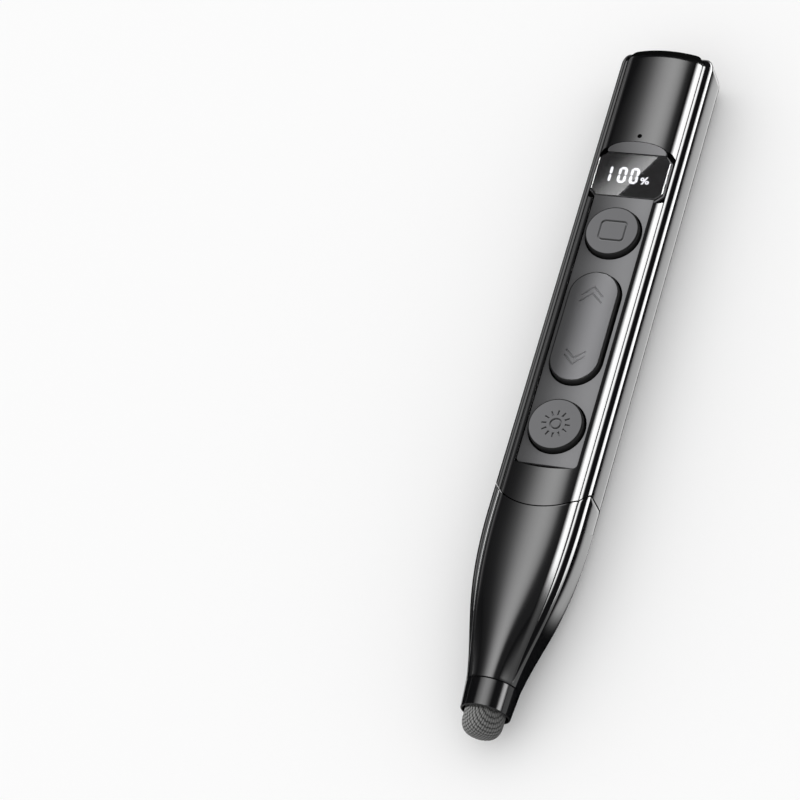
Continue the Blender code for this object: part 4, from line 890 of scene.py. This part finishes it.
def round_key(name, y):
    """A round key: a cap with a soft edge, a thin wall, a flange and a post."""
    profile = [(0, KEY_TOP_Z)] + arc(KEY_RADIUS - KEY_EDGE, KEY_TOP_Z - KEY_EDGE, KEY_EDGE, 0, math.pi / 2, 6)
    inner, roof = KEY_RADIUS - KEY_SHELL, KEY_TOP_Z - KEY_SHELL
    profile += [(KEY_RADIUS, FLANGE_Z), (FLANGE_RADIUS, FLANGE_Z), (FLANGE_RADIUS, KEY_BOTTOM_Z),
                (inner, KEY_BOTTOM_Z), (inner, roof), (POST_RADIUS, roof), (POST_RADIUS, POST_BOTTOM_Z),
                (0, POST_BOTTOM_Z)]
    return turned(name, profile, (0, y, 0), (0, 0, 1))


def make_function_key():
    """The upper round key with its engraved frame sign."""
    key = round_key("function_cap", FUNCTION_KEY_Y)
    left, right, half = -0.00245, 0.00275, 0.00215
    sign = rounded([(left, -half), (right, -half), (right, half), (left, half)], 0.0008)
    cut(key, groove("frame_sign", [(x, FUNCTION_KEY_Y + y) for x, y in sign], True))
    return calm(key)


def make_laser_key():
    """The lower round key with its engraved light sign: a ring and twelve tapered rays."""
    key = round_key("laser_cap", LASER_KEY_Y)
    centre = (0.0001, LASER_KEY_Y)
    ring = groove("ring_sign", circle(0.00105, centre, 48), True, 0.00052)
    ray = groove("ray", [(-0.00038, 0), (0.00038, 0)], False, 0.00046)
    for vert in ray.data.vertices:
        vert.co.y *= 0.85 - 0.2 * vert.co.x / 0.0006
    rays = ring_of("rays", ray, 12, 0.0024, (*centre, 0), 0.0)
    cut(key, ring, rays)
    return calm(key)


def make_page_rocker():
    """The long key: a hollow cap with a post over each switch, a lug on the axle and page signs."""
    rings = []
    for height, inset in [(POST_BOTTOM_Z, 0)] + [
            (KEY_TOP_Z - KEY_EDGE + KEY_EDGE * math.sin(math.pi / 2 * k / 6),
             KEY_EDGE * (1 - math.cos(math.pi / 2 * k / 6))) for k in range(7)]:
        rings.append([(x, y, height) for x, y in stadium(-inset)])
    rocker = loft("rocker_cap", rings)
    roof = KEY_TOP_Z - KEY_SHELL
    cut(rocker, prism("rocker_hollow", stadium(-KEY_SHELL), POST_BOTTOM_Z - PAST, roof))
    sink = KEY_SHELL / 2
    lug = ROCKER_WIDTH / 2 - KEY_SHELL + sink
    joined(rocker, box("rocker_lug", (-lug, ROCKER_Y - LUG_HALF, LUG_BOTTOM_Z),
                       (lug, ROCKER_Y + LUG_HALF, roof + sink)),
           *[prism("post", circle(POST_RADIUS, (0, y), 32), POST_BOTTOM_Z, roof + sink) for y in POSTS_Y])
    signs = []
    for index, (x, y, reach, drop, way) in enumerate((
            (-0.00010, 0.01790, 0.00210, 0.00190, 1), (-0.00008, 0.01648, 0.00218, 0.00192, 1),
            (-0.00012, 0.00190, 0.00188, 0.00164, -1), (-0.00015, 0.00060, 0.00200, 0.00180, -1))):
        sign = [(x - reach, y - way * drop), (x, y), (x + reach, y - way * drop)]
        signs.append(groove(f"page_sign_{index}", sign, False, 0.00046))
    bore = prism("axle_bore", circle(AXLE_BORE, (ROCKER_Y, AXLE_Z), 24), -BODY_HALF, BODY_HALF, "X")
    cut(rocker, bore, *signs)
    return calm(rocker)


# Tip

def make_collar():
    """The turned ring behind the pad."""
    length, end_radius, edge, pocket, pocket_end, start = 0.0054, 0.00485, 0.00025, 0.0045, 0.0019, 0.00008
    profile = [(pocket, length)] + arc(end_radius - edge, length - edge, edge, 0, math.pi / 2, 8)
    profile += [(NOSE_END_RADIUS - start * 0.11, start)]
    profile += [(NOSE_END_RADIUS - start * (1 - math.cos(math.pi / 2 * k / 3)) - start * 0.11,
                 start - start * math.sin(math.pi / 2 * k / 3)) for k in range(1, 4)]
    profile += [(STEM_BORE, 0), (STEM_BORE, pocket_end), (pocket, pocket_end)]
    return shade(turned("tip_ring", profile, (0, COLLAR_START_Y, AXIS_Z), (0, -1, 0), 160))


def weave_height(p, q):
    """Relief of the cloth: threads over and under each other, 0 in the gaps and 1 on top."""
    a, b = np.pi * p / THREAD, np.pi * q / (THREAD * 1.35)
    over = np.clip(2.4 * np.sin(a) * np.sin(b), -1, 1)
    warp = np.abs(np.sin(a)) ** 0.7 * (0.55 + 0.45 * over)
    weft = np.abs(np.sin(b)) ** 0.7 * (0.55 - 0.45 * over)
    return np.maximum(warp, weft)


def on_axis(reach, along, turn):
    """A place round the pen's axis, by its distance from it and from the ring's start."""
    return reach * math.cos(turn), COLLAR_START_Y - along, AXIS_Z + reach * math.sin(turn)


def make_pad():
    """The woven pad: a blunt dome whose cloth stands up thread by thread."""
    radius, dome, apex, root, stem = 0.00395, 0.0038, 0.01007, 0.0021, 0.0024
    steps, rows, walls = 264, 74, 34
    blunt = 2 / 2.8
    profile = []
    for k in range(1, rows + 1):
        turn = math.pi / 2 * k / rows
        profile.append((radius * math.sin(turn) ** blunt, apex - dome + dome * math.cos(turn) ** blunt))
    foot = apex - dome
    profile += [(radius, foot + (root - foot) * k / walls) for k in range(1, walls + 1)]
    shape = bmesh.new()
    tone = shape.verts.layers.float.new("weave")
    lie = math.radians(40)
    run, before = 0.0, (0.0, apex)
    loops = []
    for index, (reach, along) in enumerate(profile):
        run += math.hypot(reach - before[0], along - before[1])
        ahead = profile[min(index + 1, len(profile) - 1)]
        across, drop = ahead[0] - before[0], ahead[1] - before[1]
        slope = math.hypot(across, drop)
        before = (reach, along)
        spread = run * (1 - 0.035 * run * 1000)
        turns = np.arange(steps) * 2 * np.pi / steps
        height = weave_height(spread * np.cos(turns + lie), spread * np.sin(turns + lie))
        sink = (1 - height) * WEAVE_DEPTH
        reaches = reach + sink * drop / slope
        heights = along - sink * across / slope
        loop = []
        for turn, wide, far, level in zip(turns, reaches, heights, height):
            vert = shape.verts.new(on_axis(wide, far, turn))
            vert[tone] = level
            loop.append(vert)
        loops.append(loop)
    for along in (root, root + stem):
        loops.append([shape.verts.new(on_axis(STEM_BORE, along, turn)) for turn in turns])
    for near, far in zip(loops, loops[1:]):
        bridge(shape, near, far)
    peak = shape.verts.new((0, COLLAR_START_Y - apex + WEAVE_DEPTH * 0.5, AXIS_Z))
    peak[tone] = 0.5
    for k in range(steps):
        shape.faces.new((peak, loops[0][(k + 1) % steps], loops[0][k]))
    shape.faces.new(loops[-1])
    return shade(piece_from(shape, "woven_pad"), 70)


# Materials

def new_material(name):
    """A material with a plain Principled finish, its tree and its shader."""
    item = bpy.data.materials.new(name)
    item.use_nodes = True
    return item, item.node_tree, item.node_tree.nodes["Principled BSDF"]


def grain_group():
    """Moulded grain: a fine speckle of height and a slower drift of gloss and tone."""
    tree, given = new_tree("moulded grain", "ShaderNodeTree", {
        "Grain Scale": "Float", "Drift Scale": "Float", "Dark": "Color", "Light": "Color", "Smooth": "Float",
        "Rough": "Float"}, {"Color": "Color", "Roughness": "Float", "Height": "Float"})
    where = add_node(tree, "ShaderNodeTexCoord").outputs["Object"]
    fine = add_node(tree, "ShaderNodeTexNoise", {
        "Vector": where, "Scale": given["Grain Scale"], "Detail": 3.0})
    slow = add_node(tree, "ShaderNodeTexNoise", {
        "Vector": where, "Scale": given["Drift Scale"], "Detail": 4.0}).outputs["Fac"]
    tone = add_node(tree, "ShaderNodeMix", {
        "Factor": slow, 6: given["Dark"], 7: given["Light"]}, data_type="RGBA")
    gloss = add_node(tree, "ShaderNodeMapRange", {
        "Value": slow, "From Min": 0.3, "From Max": 0.7, "To Min": given["Smooth"], "To Max": given["Rough"]})
    add_node(tree, "NodeGroupOutput", {
        "Color": tone.outputs[2], "Roughness": gloss.outputs["Result"], "Height": fine.outputs["Fac"]})
    return tree


GRAIN = grain_group()


def plastic(name, dark, light, smooth, rough, grain=9000.0, relief=0.0, drift=120.0, ior=1.5):
    """A moulded plastic or paint with the shared grain."""
    item, tree, shader = new_material(name)
    group = add_node(tree, "ShaderNodeGroup", {
        "Grain Scale": grain, "Drift Scale": drift, "Dark": (*dark, 1), "Light": (*light, 1),
        "Smooth": smooth, "Rough": rough}, node_tree=GRAIN)
    feed(tree, shader, {
        "Base Color": group.outputs["Color"], "Roughness": group.outputs["Roughness"], "IOR": ior})
    if relief:
        bump = add_node(tree, "ShaderNodeBump", {"Distance": relief, "Height": group.outputs["Height"]})
        feed(tree, shader, {"Normal": bump.outputs["Normal"]})
    return item


def metal(name, dark, light, smooth, rough):
    """A metal with a fine drift of tone and gloss."""
    item = plastic(name, dark, light, smooth, rough, 4000.0, 0.000004, 900.0)
    item.node_tree.nodes["Principled BSDF"].inputs["Metallic"].default_value = 1.0
    return item


def weave_material():
    """Conductive cloth: pale threads, with painted shade darkening them where they dip, each thread a little
    different.
    """
    item, tree, shader = new_material("woven conductive cloth")
    relief = add_node(tree, "ShaderNodeAttribute", attribute_name="weave").outputs["Fac"]
    where = add_node(tree, "ShaderNodeTexCoord").outputs["Object"]
    fibre = add_node(tree, "ShaderNodeTexNoise", {
        "Vector": where, "Scale": 2600.0, "Detail": 4.0}).outputs["Fac"]
    # Painted shade: the lower the relief, the darker the cloth.
    shift = add_node(tree, "ShaderNodeMath", {0: fibre, 1: 0.5, 2: relief}, operation="MULTIPLY_ADD")
    span = add_node(tree, "ShaderNodeMapRange", {
        "Value": shift.outputs[0], "From Min": 0.55, "From Max": 1.3})
    tone = add_node(tree, "ShaderNodeMix", {
        "Factor": span.outputs["Result"], 6: (0.012, 0.012, 0.012, 1), 7: (0.150, 0.150, 0.147, 1)},
        data_type="RGBA")
    gloss = add_node(tree, "ShaderNodeMapRange", {"Value": relief, "To Min": 0.85, "To Max": 0.5})
    bump = add_node(tree, "ShaderNodeBump", {"Distance": 0.00002, "Height": fibre})
    feed(tree, shader, {"Base Color": tone.outputs[2], "Roughness": gloss.outputs["Result"],
                        "Normal": bump.outputs["Normal"]})
    return item


def smoked_glass():
    """The window's own material: dark clear acrylic."""
    item = plastic("smoked acrylic", (0.20, 0.20, 0.207), (0.22, 0.22, 0.227), 0.0, 0.015, ior=1.49)
    item.node_tree.nodes["Principled BSDF"].inputs["Transmission Weight"].default_value = 1.0
    return item


def lit_material():
    """White light through the digits, a little uneven."""
    item = plastic("lit white bars", (0.8, 0.8, 0.82), (0.86, 0.86, 0.88), 0.4, 0.5)
    nodes = item.node_tree.nodes
    feed(item.node_tree, nodes["Principled BSDF"], {
        "Emission Color": nodes["Group"].outputs["Color"], "Emission Strength": 6.0})
    return item


def paint(item, material):
    """Give a piece one material."""
    item.data.materials.clear()
    item.data.materials.append(material)
    return item


# Dark and light end of the drift of tone
GLOSS_BLACK = ((0.0045, 0.0045, 0.005), (0.007, 0.007, 0.0075))
# Black for painted shade, on the keys' walls and in the cover's gaps
SHADE_BLACK = ((0.002, 0.002, 0.002), (0.003, 0.003, 0.003))
MOULD_GRAIN = (16000.0, 0.000012)
MATERIALS = {
    "cover": plastic("gloss black cover", *GLOSS_BLACK, 0.08, 0.13),
    "tub": plastic("gloss black tub", *GLOSS_BLACK, 0.05, 0.09, ior=1.6),
    "panel": plastic("matte panel", (0.068, 0.068, 0.07), (0.074, 0.074, 0.076), 0.42, 0.5, *MOULD_GRAIN),
    "key": plastic("matte key", (0.029, 0.029, 0.030), (0.031, 0.031, 0.032), 0.42, 0.5, *MOULD_GRAIN),
    # Painted shade: black on the keys' walls and edges, in the cover's recess and along the parting line
    "key_wall_shade": plastic("black key wall", *SHADE_BLACK, 0.6, 0.7, 16000.0, 0.000008),
    "gap_shade": plastic("black gap", *SHADE_BLACK, 0.7, 0.8, ior=1.05),
    "collar": plastic("gloss black ring", *GLOSS_BLACK, 0.12, 0.18),
    "window": smoked_glass(),
    "mask": plastic("black print", (0.012, 0.012, 0.013), (0.016, 0.016, 0.017), 0.5, 0.6),
    "lit": lit_material(),
    "weave": weave_material(),
    "inner": plastic("inner black", (0.02, 0.02, 0.02), (0.026, 0.026, 0.026), 0.4, 0.5, relief=0.00001),
    "steel": metal("plated steel", (0.62, 0.62, 0.63), (0.7, 0.7, 0.71), 0.18, 0.28),
    "brass": metal("brass", (0.66, 0.46, 0.17), (0.76, 0.55, 0.22), 0.2, 0.3),
    "foil": metal("cell foil", (0.55, 0.56, 0.58), (0.65, 0.66, 0.68), 0.3, 0.4),
    "board": plastic("board green", (0.01, 0.09, 0.035), (0.015, 0.12, 0.045), 0.3, 0.4),
    "white": plastic("white plastic", (0.68, 0.68, 0.66), (0.75, 0.75, 0.73), 0.4, 0.5, relief=0.00001),
    "foam": plastic("foam", (0.05, 0.05, 0.05), (0.08, 0.08, 0.08), 0.9, 1.0, 5000.0, 0.00005),
    "pipe": plastic("dark light pipe", (0.004, 0.004, 0.004), (0.007, 0.007, 0.007), 0.2, 0.3),
    "contact": metal("gold contact", (0.78, 0.58, 0.24), (0.86, 0.66, 0.30), 0.2, 0.3),
    "glass": plastic("lens glass", (0.6, 0.65, 0.66), (0.64, 0.69, 0.7), 0.03, 0.05),
    "red": plastic("laser window red", (0.16, 0.006, 0.006), (0.2, 0.008, 0.008), 0.04, 0.06),
}


# Pieces on their bodies

def seat(item, body, slot, material, *nodes):
    """Dress a piece, put it on its body and let it stand for its nodes."""
    paint(item, MATERIALS[material])
    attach(item, body)
    if nodes:
        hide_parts(*nodes)
    return item


cover = seat(make_front_cover(), "body", "cover_black", "cover", "front_cover")
tub = seat(make_rear_shell(), "body", "shell_black", "tub", "rear_shell")
nose_crown, nose_tub = make_nose()
seat(nose_crown, "nose_cap", "cover_black", "cover", "nose_cap")
seat(nose_tub, "nose_cap", "shell_black", "tub")
panel = seat(make_control_panel(), "body", "panel_grey", "panel", "control_panel")
window = seat(make_window(), "body", "window_smoke", "window", "display_window")
seat(make_window_mask(), "body", "window_smoke", "mask")
seat(make_digits(), "body", "display_block", "lit")
function_key = seat(make_function_key(), "function_key", "key_grey", "key", "function_key")
laser_key = seat(make_laser_key(), "laser_key", "key_grey", "key", "laser_key")
rocker = seat(make_page_rocker(), "page_rocker", "key_grey", "key", "page_rocker")
collar = seat(make_collar(), "nose_cap", "collar_black", "collar", "tip_collar")
pad = seat(make_pad(), "nose_cap", "weave", "weave", "stylus_tip")

# The keys' side walls and most of their rounded edges are painted black: painted shade.
two_tone(function_key, "key", "key_wall_shade", key_wall_shade(FUNCTION_KEY_Y, KEY_RADIUS, 0))
two_tone(laser_key, "key", "key_wall_shade", key_wall_shade(LASER_KEY_Y, KEY_RADIUS, 0))
two_tone(rocker, "key", "key_wall_shade", key_wall_shade(ROCKER_Y, ROCKER_WIDTH / 2, (ROCKER_LENGTH - ROCKER_WIDTH) / 2))
# The cover's recess and pocket walls and floors, and the parting faces, are painted black: painted shade in
# the gaps.
two_tone(cover, "cover", "gap_shade", in_recess)
for shell, finish_name in ((tub, "tub"), (nose_crown, "cover"), (nose_tub, "tub")):
    two_tone(shell, finish_name, "gap_shade", on_parting)
# The ring's thin front face round the pad takes the same black: painted shade where the ring meets the pad.
two_tone(collar, "collar", "key_wall_shade", lambda place: place.y < COLLAR_END_Y + COLLAR_FACE_DEPTH)


def copy_of(node_name, name):
    """A copy of a solid of the frame."""
    return add_object(name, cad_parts[node_name].data.copy())


def finer(node_name, width, body, slot, material):
    """A copy of a solid of the frame with softened edges, put in its place."""
    item = soften(copy_of(node_name, node_name + "_fine"), width, 3, lambda edge: True, 40)
    return seat(calm(item), body, slot, material, node_name)


def contact_row(name, count, start, step, size, body, slot):
    """A row of thin gold contact strips."""
    strip = box("strip", [-side / 2 for side in size], [side / 2 for side in size])
    soften(strip, 0.00002, 2, lambda edge: True)
    return seat(shade(row_of(name, strip, count, start, step, MATERIALS["contact"])), body, slot, "contact")


def make_receiver_head():
    """The receiver's plastic grip, with finger grooves across its front face."""
    head = soften(copy_of("receiver_head", "receiver_grip"), 0.0003, 3, lambda edge: True, 40)
    low = min(vert.co.y for vert in head.data.vertices)
    notch = box("notch", (-0.00015, -0.00025, -0.0022), (0.00015, 0.00025, 0.0022))
    notches = row_of("notches", notch, 9, (-0.0044, low, 0.0064), (0.0011, 0, 0))
    return shade(cut(head, notches))


finer("receiver_bay", 0.00012, "body", "inner_black", "inner")
seat(make_receiver_head(), "receiver", "inner_black", "inner", "receiver_head")
finer("receiver_plug", 0.00008, "receiver", "steel", "steel")
finer("charge_port", 0.00006, "body", "steel", "steel")
finer("battery_cell", 0.0003, "body", "foil", "foil")
finer("laser_barrel", 0.0001, "body", "brass", "brass")
contact_row("receiver_contacts", 4, (-0.00345, -0.0215, 0.00636), (0.0023, 0, 0), (0.0011, 0.0070, 0.00004),
            "receiver", "steel")

CARRIED = {
    "white": ("status_led", "function_plunger", "page_up_plunger", "page_down_plunger", "laser_plunger",
              "receiver_tongue"),
    "pipe": ("status_light",),
    "mask": ("display_module",),
    "steel": ("rocker_axle", "board_screw_front", "board_screw_tail", "laser_diode", "charge_port",
              "receiver_plug", "tip_core"),
    "brass": ("laser_barrel",),
    "glass": ("laser_lens",),
    "red": ("laser_window",),
    "foil": ("battery_cell",),
    "foam": ("battery_pad",),
    "board": ("circuit_board",),
    "inner": ("function_switch", "page_up_switch", "page_down_switch", "laser_switch", "charge_tongue",
              "receiver_bay", "receiver_head"),
}
for finish_name, names in CARRIED.items():
    for node_name in names:
        for material_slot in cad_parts[node_name].material_slots:
            material_slot.material = MATERIALS[finish_name]


# Studio

def receivers(name, *items):
    """A collection that a lamp may be kept to."""
    group = bpy.data.collections.new(name)
    for item in items:
        group.objects.link(item)
    return group


def hang(data, place, turn, group, unseen):
    """Hang a lamp, keep it to some pieces, and keep it out of the camera and of one kind of ray."""
    lamp = add_object(data.name, data)
    lamp.location = place
    lamp.rotation_euler = turn
    lamp.visible_camera = False
    setattr(lamp, unseen, False)
    lamp.light_linking.receiver_collection = group


def flat_lamp(name, size, energy):
    """The data of a flat rectangular lamp."""
    data = bpy.data.lights.new(name, "AREA")
    data.shape = "RECTANGLE"
    data.size, data.size_y = size
    data.energy = energy
    return data


def lamp_card(name, place, turn, size, glow, group, fade=(-1, 0, 0)):
    """A flat lamp kept to some pieces. Glow is radiance by share of its width. Fade says between which
    shares of its length it comes up, and how bright it is before."""
    start, end, least = fade
    peak = max(value for _, value in glow)
    data = flat_lamp(name, size, peak * math.pi * size[0] * size[1])
    data.use_nodes = True
    tree = data.node_tree
    where = add_node(tree, "ShaderNodeNewGeometry").outputs["Parametric"]
    split = add_node(tree, "ShaderNodeSeparateXYZ", {"Vector": where})
    ramp = add_node(tree, "ShaderNodeValToRGB", {"Fac": split.outputs["X"]})
    for share, _ in glow[1:-1]:
        ramp.color_ramp.elements.new(share)
    for element, (share, value) in zip(ramp.color_ramp.elements, glow):
        element.position = share
        element.color = (value / peak, value / peak, value / peak, 1)
    rise = add_node(tree, "ShaderNodeMapRange", {
        "Value": split.outputs["Y"], "From Min": start, "From Max": end}, interpolation_type="SMOOTHSTEP")
    steep = add_node(tree, "ShaderNodeMath", {0: rise.outputs["Result"], 1: 2.0}, operation="POWER")
    lifted = add_node(tree, "ShaderNodeMath", {0: steep.outputs[0], 1: 1 - least, 2: least},
                      operation="MULTIPLY_ADD")
    feed(tree, tree.nodes["Emission"], {"Color": ramp.outputs["Color"], "Strength": lifted.outputs[0]})
    hang(data, place, turn, group, "visible_diffuse")


def along(span, fade):
    """A fade given in metres along the pen, as shares of a lamp's length."""
    length = span[1] - span[0]
    return (fade[0] - span[0]) / length, (fade[1] - span[0]) / length, fade[2]


def long_softbox(name, stops, group, fade=(-1, -0.9, 0), distance=0.6, span=(-0.1, 0.5)):
    """A lamp along the pen. Stops are radiance by the angle from straight up towards +X."""
    low, high = math.radians(stops[0][0]), math.radians(stops[-1][0])
    middle, half = (low + high) / 2, math.tan((high - low) / 2)
    glow = [(0.5 + math.tan(math.radians(angle) - middle) / (2 * half), value) for angle, value in stops]
    place = (distance * math.sin(middle), sum(span) / 2, AXIS_Z + distance * math.cos(middle))
    size = (2 * distance * half, span[1] - span[0])
    lamp_card(name, place, (0, middle, 0), size, glow, group, along(span, fade))


def floor_card(name, height, span, stops, group, fade=(-1, -0.9, 0), swing=0.0, pivot=(0, 0)):
    """A lamp that lies face up beside the pen. Stops are radiance by distance from the pen's middle."""
    near, far = stops[0][0], stops[-1][0]
    glow = [((far - reach) / (far - near), value) for reach, value in reversed(stops)]
    middle = Vector(((near + far) / 2, sum(span) / 2)) - Vector(pivot)
    middle.rotate(Matrix.Rotation(swing, 2))
    place = (middle.x + pivot[0], middle.y + pivot[1], height)
    size = (far - near, span[1] - span[0])
    lamp_card(name, place, (0, math.pi, swing), size, glow, group, along(span, fade))


def wash(name, target, energy, spread, group, height=0.12):
    """A narrow lamp along the pen, straight above one flat face, strongest at the target."""
    data = flat_lamp(name, (0.002, 0.16), energy)
    data.spread = math.radians(spread)
    hang(data, (target[0], target[1], target[2] + height), (0, 0, 0), group, "visible_glossy")


def low_sun(name, azimuth, strength, group, elevation=35):
    """A low lamp far off, which lights the far walls of the engraved signs."""
    data = bpy.data.lights.new(name, "SUN")
    data.energy = strength
    data.angle = math.radians(12)
    turn = (0, math.radians(90 - elevation), math.radians(azimuth))
    hang(data, (0, 0, 0), turn, group, "visible_glossy")


def stage_cloth(name, tone):
    """A dull finish for the floor and the blinds."""
    item, tree, shader = new_material(name)
    feed(tree, shader, {"Base Color": (tone, tone, tone, 1), "Roughness": 1.0, "Specular IOR Level": 0.0})
    return item


def make_canopy():
    """A black dome that only mirrors see, open towards the tip."""
    radius, centre_y, steps = 0.9, 0.1, 24
    shape = bmesh.new()
    grid = []
    around = [math.radians(-90 + 180 * k / steps) for k in range(steps + 1)]
    for row in range(steps + 1):
        rise = math.radians(-30 + 119 * row / steps)
        reach, y = radius * math.cos(rise), centre_y + radius * math.sin(rise)
        grid.append([shape.verts.new((reach * math.sin(turn), y, reach * math.cos(turn))) for turn in around])
    for near, far in zip(grid, grid[1:]):
        bridge(shape, near, far, False)
    return piece_from(shape, "canopy")


def make_room():
    """The dome of light, the floor, and the blinds that only mirrors see."""
    world = bpy.data.worlds.new("dome")
    world.use_nodes = True
    feed(world.node_tree, world.node_tree.nodes["Background"], {"Color": (1, 1, 1, 1), "Strength": 1.0})
    bpy.context.scene.world = world
    floor = prism("floor", circle(6.0, steps=64), -0.02, -0.00002)
    paint(floor, stage_cloth("pale floor", 0.97))
    dark, grey = stage_cloth("black cloth", 0.0), stage_cloth("grey cloth", 0.25)
    blinds = [paint(make_canopy(), dark)]
    for name, finish, low, high in (("flank_blind", dark, (0.0134, -0.0285), (0.0212, 0.11)),
                                    ("nose_blind", dark, (0.0, -0.09), (0.0212, -0.02836)),
                                    ("left_blind", dark, (-0.40, -0.09), (-0.0165, 0.30)),
                                    ("under_card", grey, (-0.0099, -0.0285), (0.0100, 0.076))):
        blinds.append(paint(box(name, (*low, -BLIND_HALF), (*high, BLIND_HALF)), finish))
    for blind in blinds:
        for kind in ("camera", "diffuse", "shadow", "transmission"):
            setattr(blind, "visible_" + kind, False)


def light_shells():
    """The lamps whose reflections draw the cover, the tub and the nose."""
    crown_side = receivers("crown side", cover, nose_crown)
    white_side = receivers("white side", cover, nose_crown, window)
    tub_side = receivers("tub side", tub, nose_tub)
    both_sides = receivers("left of both", cover, nose_crown, tub, nose_tub)
    long_softbox("crown_grey", (
        (-62, 0.05), (-52, 0.15), (-47, 0.25), (-42, 0.5), (-38, 0.8), (-33, 1.35), (-28, 2.3), (-21, 3.95),
        (-16, 5.15), (-11, 6.0), (-6, 6.65), (-1, 6.5), (4, 5.4), (8, 3.6), (10, 2.2), (12, 0.85), (14, 0.33),
        (18, 0.15), (30, 0.15)), crown_side)
    long_softbox("crown_white", (
        (33, 0), (36, 1), (40, 4.5), (46, 11), (52, 19), (60, 26), (74, 24), (89, 18)),
        white_side, (-0.03, 0.11, 0.045))
    long_softbox("crown_left", (
        (-89, 1.2), (-82, 0.7), (-76, 0.4), (-68, 0.15), (-60, 0)), crown_side, (0.0, 0.06, 0.15), 0.5)
    long_softbox("tub_crest", (
        (-66, 0.3), (-54, 1.0), (-47, 2.4), (-41, 2.4), (-32, 1.5), (-24, 1.4), (-20, 8), (-15, 17), (5, 17),
        (11, 9), (15, 3), (19, 0.8), (24, 0.15), (30, 0)), tub_side, (-0.03, 0.11, 0.05))
    long_softbox("tub_left", ((-89, 2.0), (-80, 1.4), (-66, 0.2)), tub_side, (0.0, 0.06, 0.1), 0.5)
    long_softbox("tub_side_high", ((81, 0), (85, 7), (89, 14), (91, 14)), tub_side, (-0.03, 0.11, 0.03), 0.5)
    lamp_card("left_floor", (-0.27, 0.2, CARD_Z), FACE_UP, (0.48, 0.7), ((0, 0.2), (0.05, 0.55), (1, 0.6)),
              both_sides, (0.18, 0.26, 0.2))
    floor_card("tub_floor", 0.0004, (-0.1, 0.14), ((0.0215, 6), (0.0245, 14), (0.5, 14)), tub_side,
               (-0.056, -0.023, 0.01))
    floor_card("flank_card", CARD_Z, (-0.0285, 0.1), (
        (0.0101, 1.75), (0.0112, 1.45), (0.0118, 1.2), (0.0124, 1.0), (0.0128, 0.8), (0.0131, 0.3),
        (0.0133, 0)), tub_side)
    floor_card("nose_card", CARD_Z, (-0.06, -0.0285), (
        (0.0, 0.1), (0.0086, 0.12), (0.0100, 1.2), (0.0112, 1.75), (0.0126, 1.75), (0.0131, 1.0),
        (0.0135, 0)), tub_side, (-0.0535, -0.0450, 0), math.radians(1.8), (0.0116, -0.0285))


def light_details():
    """The lamps of the ring, the window, the panel, the keys and the pad."""
    long_span = (-0.1, 0.7)
    ring_side = receivers("ring side", collar)
    long_softbox("ring_soft", (
        (-45, 0), (-25, 3), (-10, 5), (5, 4.5), (20, 1.5), (30, 0)), ring_side, span=long_span)
    long_softbox("ring_streak", ((60, 0), (68, 8), (78, 10), (86, 0)), ring_side, span=long_span)
    window_side = receivers("window side", window)
    edge = ((0, 6.5), (1, 5.6), (1.85, 4.8), (2.7, 4.0), (3.6, 3.1), (4.4, 2.05), (5.3, 1.2), (6.1, 0.55),
            (7, 0.2), (8, 0))
    lamp_card("window_softbox", (-0.01931, 0.06316, 0.04325), (0, 0, math.radians(148.6)), (0.016, 0.030),
              [(reach / 16, value) for reach, value in edge] + [(1, 0)], window_side)
    long_softbox("window_fill", ((-62, 0.25), (0, 0.25), (10, 0.2)), window_side, span=long_span)
    lamp_card("window_left", (-0.05, 0.062, CARD_Z), FACE_UP, (0.05, 0.06), ((0, 8), (1, 8)), window_side)
    wash("panel_wash", (0.0045, 0.015, PANEL_Z), 0.0150, 9.9, receivers("panel face", panel))
    rocker_side = receivers("rocker face", rocker)
    wash("rocker_wash", (0.0023, 0.015, KEY_TOP_Z), 0.0250, 6.0, rocker_side)
    low_sun("key_sun", 115, 27.0, receivers("round keys", function_key, laser_key))
    low_sun("rocker_sun", 115, 5.0, rocker_side)
    low_sun("pad_sun", 165, 5.5, receivers("cloth", pad))


def make_camera():
    """The photographed viewpoint."""
    data = bpy.data.cameras.new("camera")
    data.sensor_width = 36
    data.lens = 126.318
    data.clip_start, data.clip_end = 0.01, 30
    camera = add_object("camera", data)
    camera.matrix_world = Matrix((
        (0.912891, -0.115844, 0.391420, 0.183379), (0.279818, 0.875740, -0.393422, -0.229140),
        (-0.297207, 0.468678, 0.831871, 0.474293), (0, 0, 0, 1)))
    bpy.context.scene.camera = camera


make_room()
light_shells()
light_details()
make_camera()
bpy.context.scene.view_settings.view_transform = "Standard"
